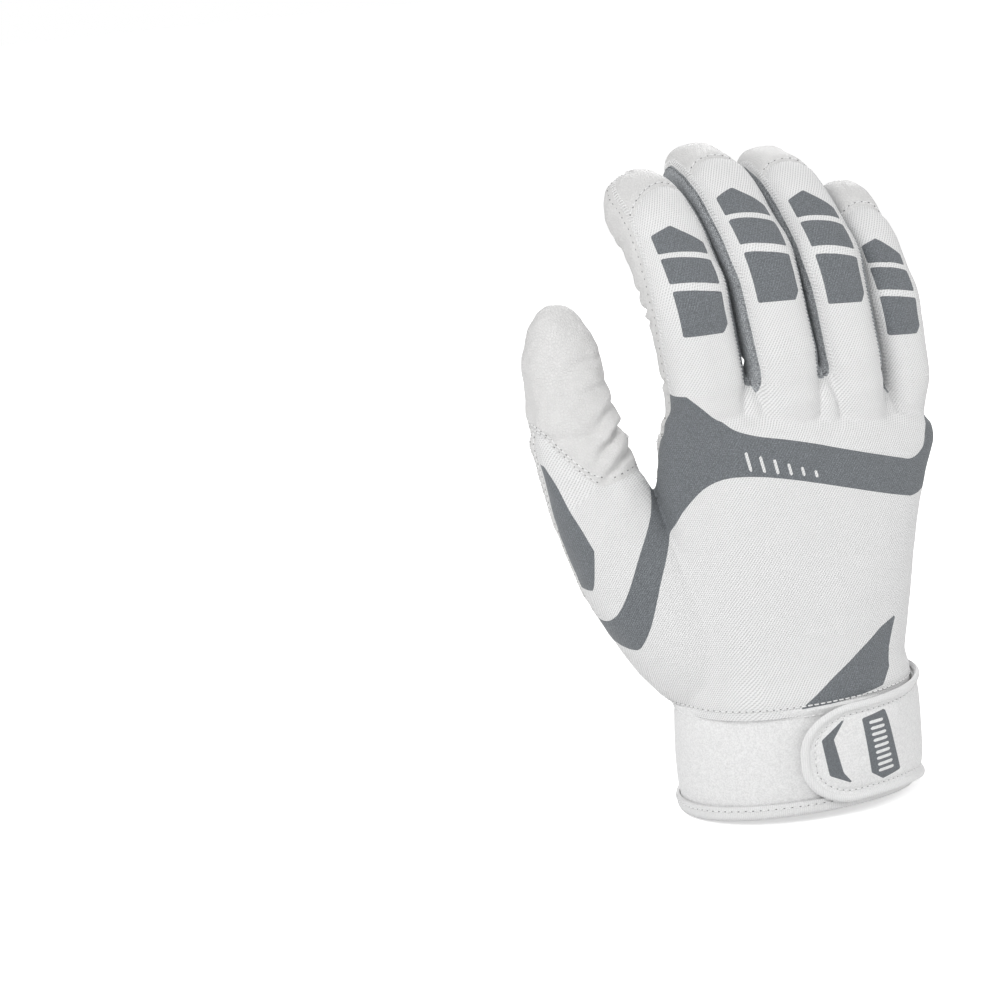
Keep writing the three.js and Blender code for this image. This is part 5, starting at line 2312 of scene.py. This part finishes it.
@dataclass
class Studio:
    """A pale floor, soft lamps and the camera of the photograph's right-hand picture."""

    azimuth: float = -25.0
    elevation: float = 12.06
    roll: float = 3.84
    distance: float = 860.0
    target: tuple[float, float, float] = (5.0, 5.0, 98.0)
    aim_right: float = -85.66
    aim_up: float = -2.52
    lens: float = 103.2
    sensor: float = 36.0
    world_strength: float = 0.5
    floor_drop: float = 0.0002
    floor_glow: float = 0.6
    # Name, place, size and power of each lamp.
    lamps: tuple[tuple[str, tuple[float, float, float], float, float], ...] = (
        ("key", (-620, -560, 700), 420, 5.4), ("fill", (700, -420, 420), 620, 1.7),
        ("back", (420, 760, 620), 420, 3.9),
    )

    def build(self) -> None:
        """Makes the floor, the lamps, the world and the camera."""
        scene = bpy.context.scene
        scene.view_settings.view_transform = "Standard"
        self.floor()
        self.world(scene)
        for lamp in self.lamps:
            self.lamp(*lamp)
        self.camera(scene)

    def floor(self) -> None:
        """A wide pale floor."""
        mesh = bmesh.new()
        bmesh.ops.create_grid(mesh, x_segments=1, y_segments=1, size=6.0)
        floor = in_scene("floor", mesh_data(mesh, "floor"))
        floor.location.z = -self.floor_drop
        tree = Tree("pale_floor")
        tree.shader.inputs["Base Color"].default_value = (0.9, 0.9, 0.9, 1.0)
        tree.shader.inputs["Roughness"].default_value = 0.9
        path = tree.node("ShaderNodeLightPath")
        seen = tree.math("MAXIMUM", path.outputs["Is Camera Ray"], path.outputs["Is Glossy Ray"])
        seen = tree.math("MAXIMUM", seen, path.outputs["Is Transmission Ray"])
        tree.shader.inputs["Emission Color"].default_value = (1.0, 1.0, 1.0, 1.0)
        tree.feed(tree.shader.inputs["Emission Strength"], tree.times(seen, self.floor_glow))
        floor.data.materials.append(tree.material)

    def world(self, scene: bpy.types.Scene) -> None:
        """A white surround to the camera, which lights the glove softly."""
        world = bpy.data.worlds.new("surround")
        scene.world = world
        world.use_nodes = True
        nodes, links = world.node_tree.nodes, world.node_tree.links
        back = nodes["Background"]
        back.inputs["Color"].default_value = (1.0, 1.0, 1.0, 1.0)
        path = nodes.new("ShaderNodeLightPath")
        either = nodes.new("ShaderNodeMath")
        either.operation = "MAXIMUM"
        links.new(path.outputs["Is Camera Ray"], either.inputs[0])
        links.new(path.outputs["Is Transmission Ray"], either.inputs[1])
        strength = nodes.new("ShaderNodeMix")
        strength.inputs[2].default_value = self.world_strength
        strength.inputs[3].default_value = 1.0
        links.new(either.outputs[0], strength.inputs[0])
        links.new(strength.outputs[0], back.inputs["Strength"])

    def lamp(self, name: str, place: tuple[float, float, float], size: float, power: float) -> None:
        """A square soft lamp aimed at the glove."""
        data = bpy.data.lights.new(name, "AREA")
        data.size = size * MM
        data.energy = power
        lamp = in_scene(name, data)
        lamp.location = Vector(place) * MM
        lamp.rotation_euler = (Vector(self.target) * MM - lamp.location).to_track_quat("-Z", "Y").to_euler()

    def camera(self, scene: bpy.types.Scene) -> None:
        """The camera, placed for the photograph's right-hand picture."""
        azimuth, elevation = math.radians(self.azimuth), math.radians(self.elevation)
        flat = math.cos(elevation)
        back = Vector((math.sin(azimuth) * flat, -math.cos(azimuth) * flat, math.sin(elevation)))
        right = Vector((math.cos(azimuth), math.sin(azimuth), 0.0))
        up = back.cross(right)
        target = Vector(self.target)
        place = target + back * self.distance
        aim = target + right * self.aim_right + up * self.aim_up
        data = bpy.data.cameras.new("camera")
        data.lens = self.lens
        data.sensor_width = self.sensor
        level = Matrix((right, up, back)).transposed()
        upright = Matrix.Rotation(math.radians(self.roll), 3, back)
        swing = (-back).rotation_difference((aim - place).normalized()).to_matrix()
        camera = in_scene("camera", data)
        camera.matrix_world = Matrix.Translation(place * MM) @ (swing @ upright.inverted() @ level).to_4x4()
        scene.camera = camera


def main() -> None:
    """Builds the glove and its studio."""
    logging.basicConfig(level=logging.INFO, format="%(message)s")
    shop = Workshop(Finishes())
    builder = HandBuilder(shop, Hand())
    builder.build()
    cuff = Cuff()
    cuff.build(shop, builder.thread)
    Strap(cuff).build(shop, builder.thread)
    PullTab(cuff).build(shop, builder.thread)
    builder.sew()
    Studio().build()
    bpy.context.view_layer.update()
    log.info("%d pieces", shop.count)


if __name__ == "__main__":
    main()
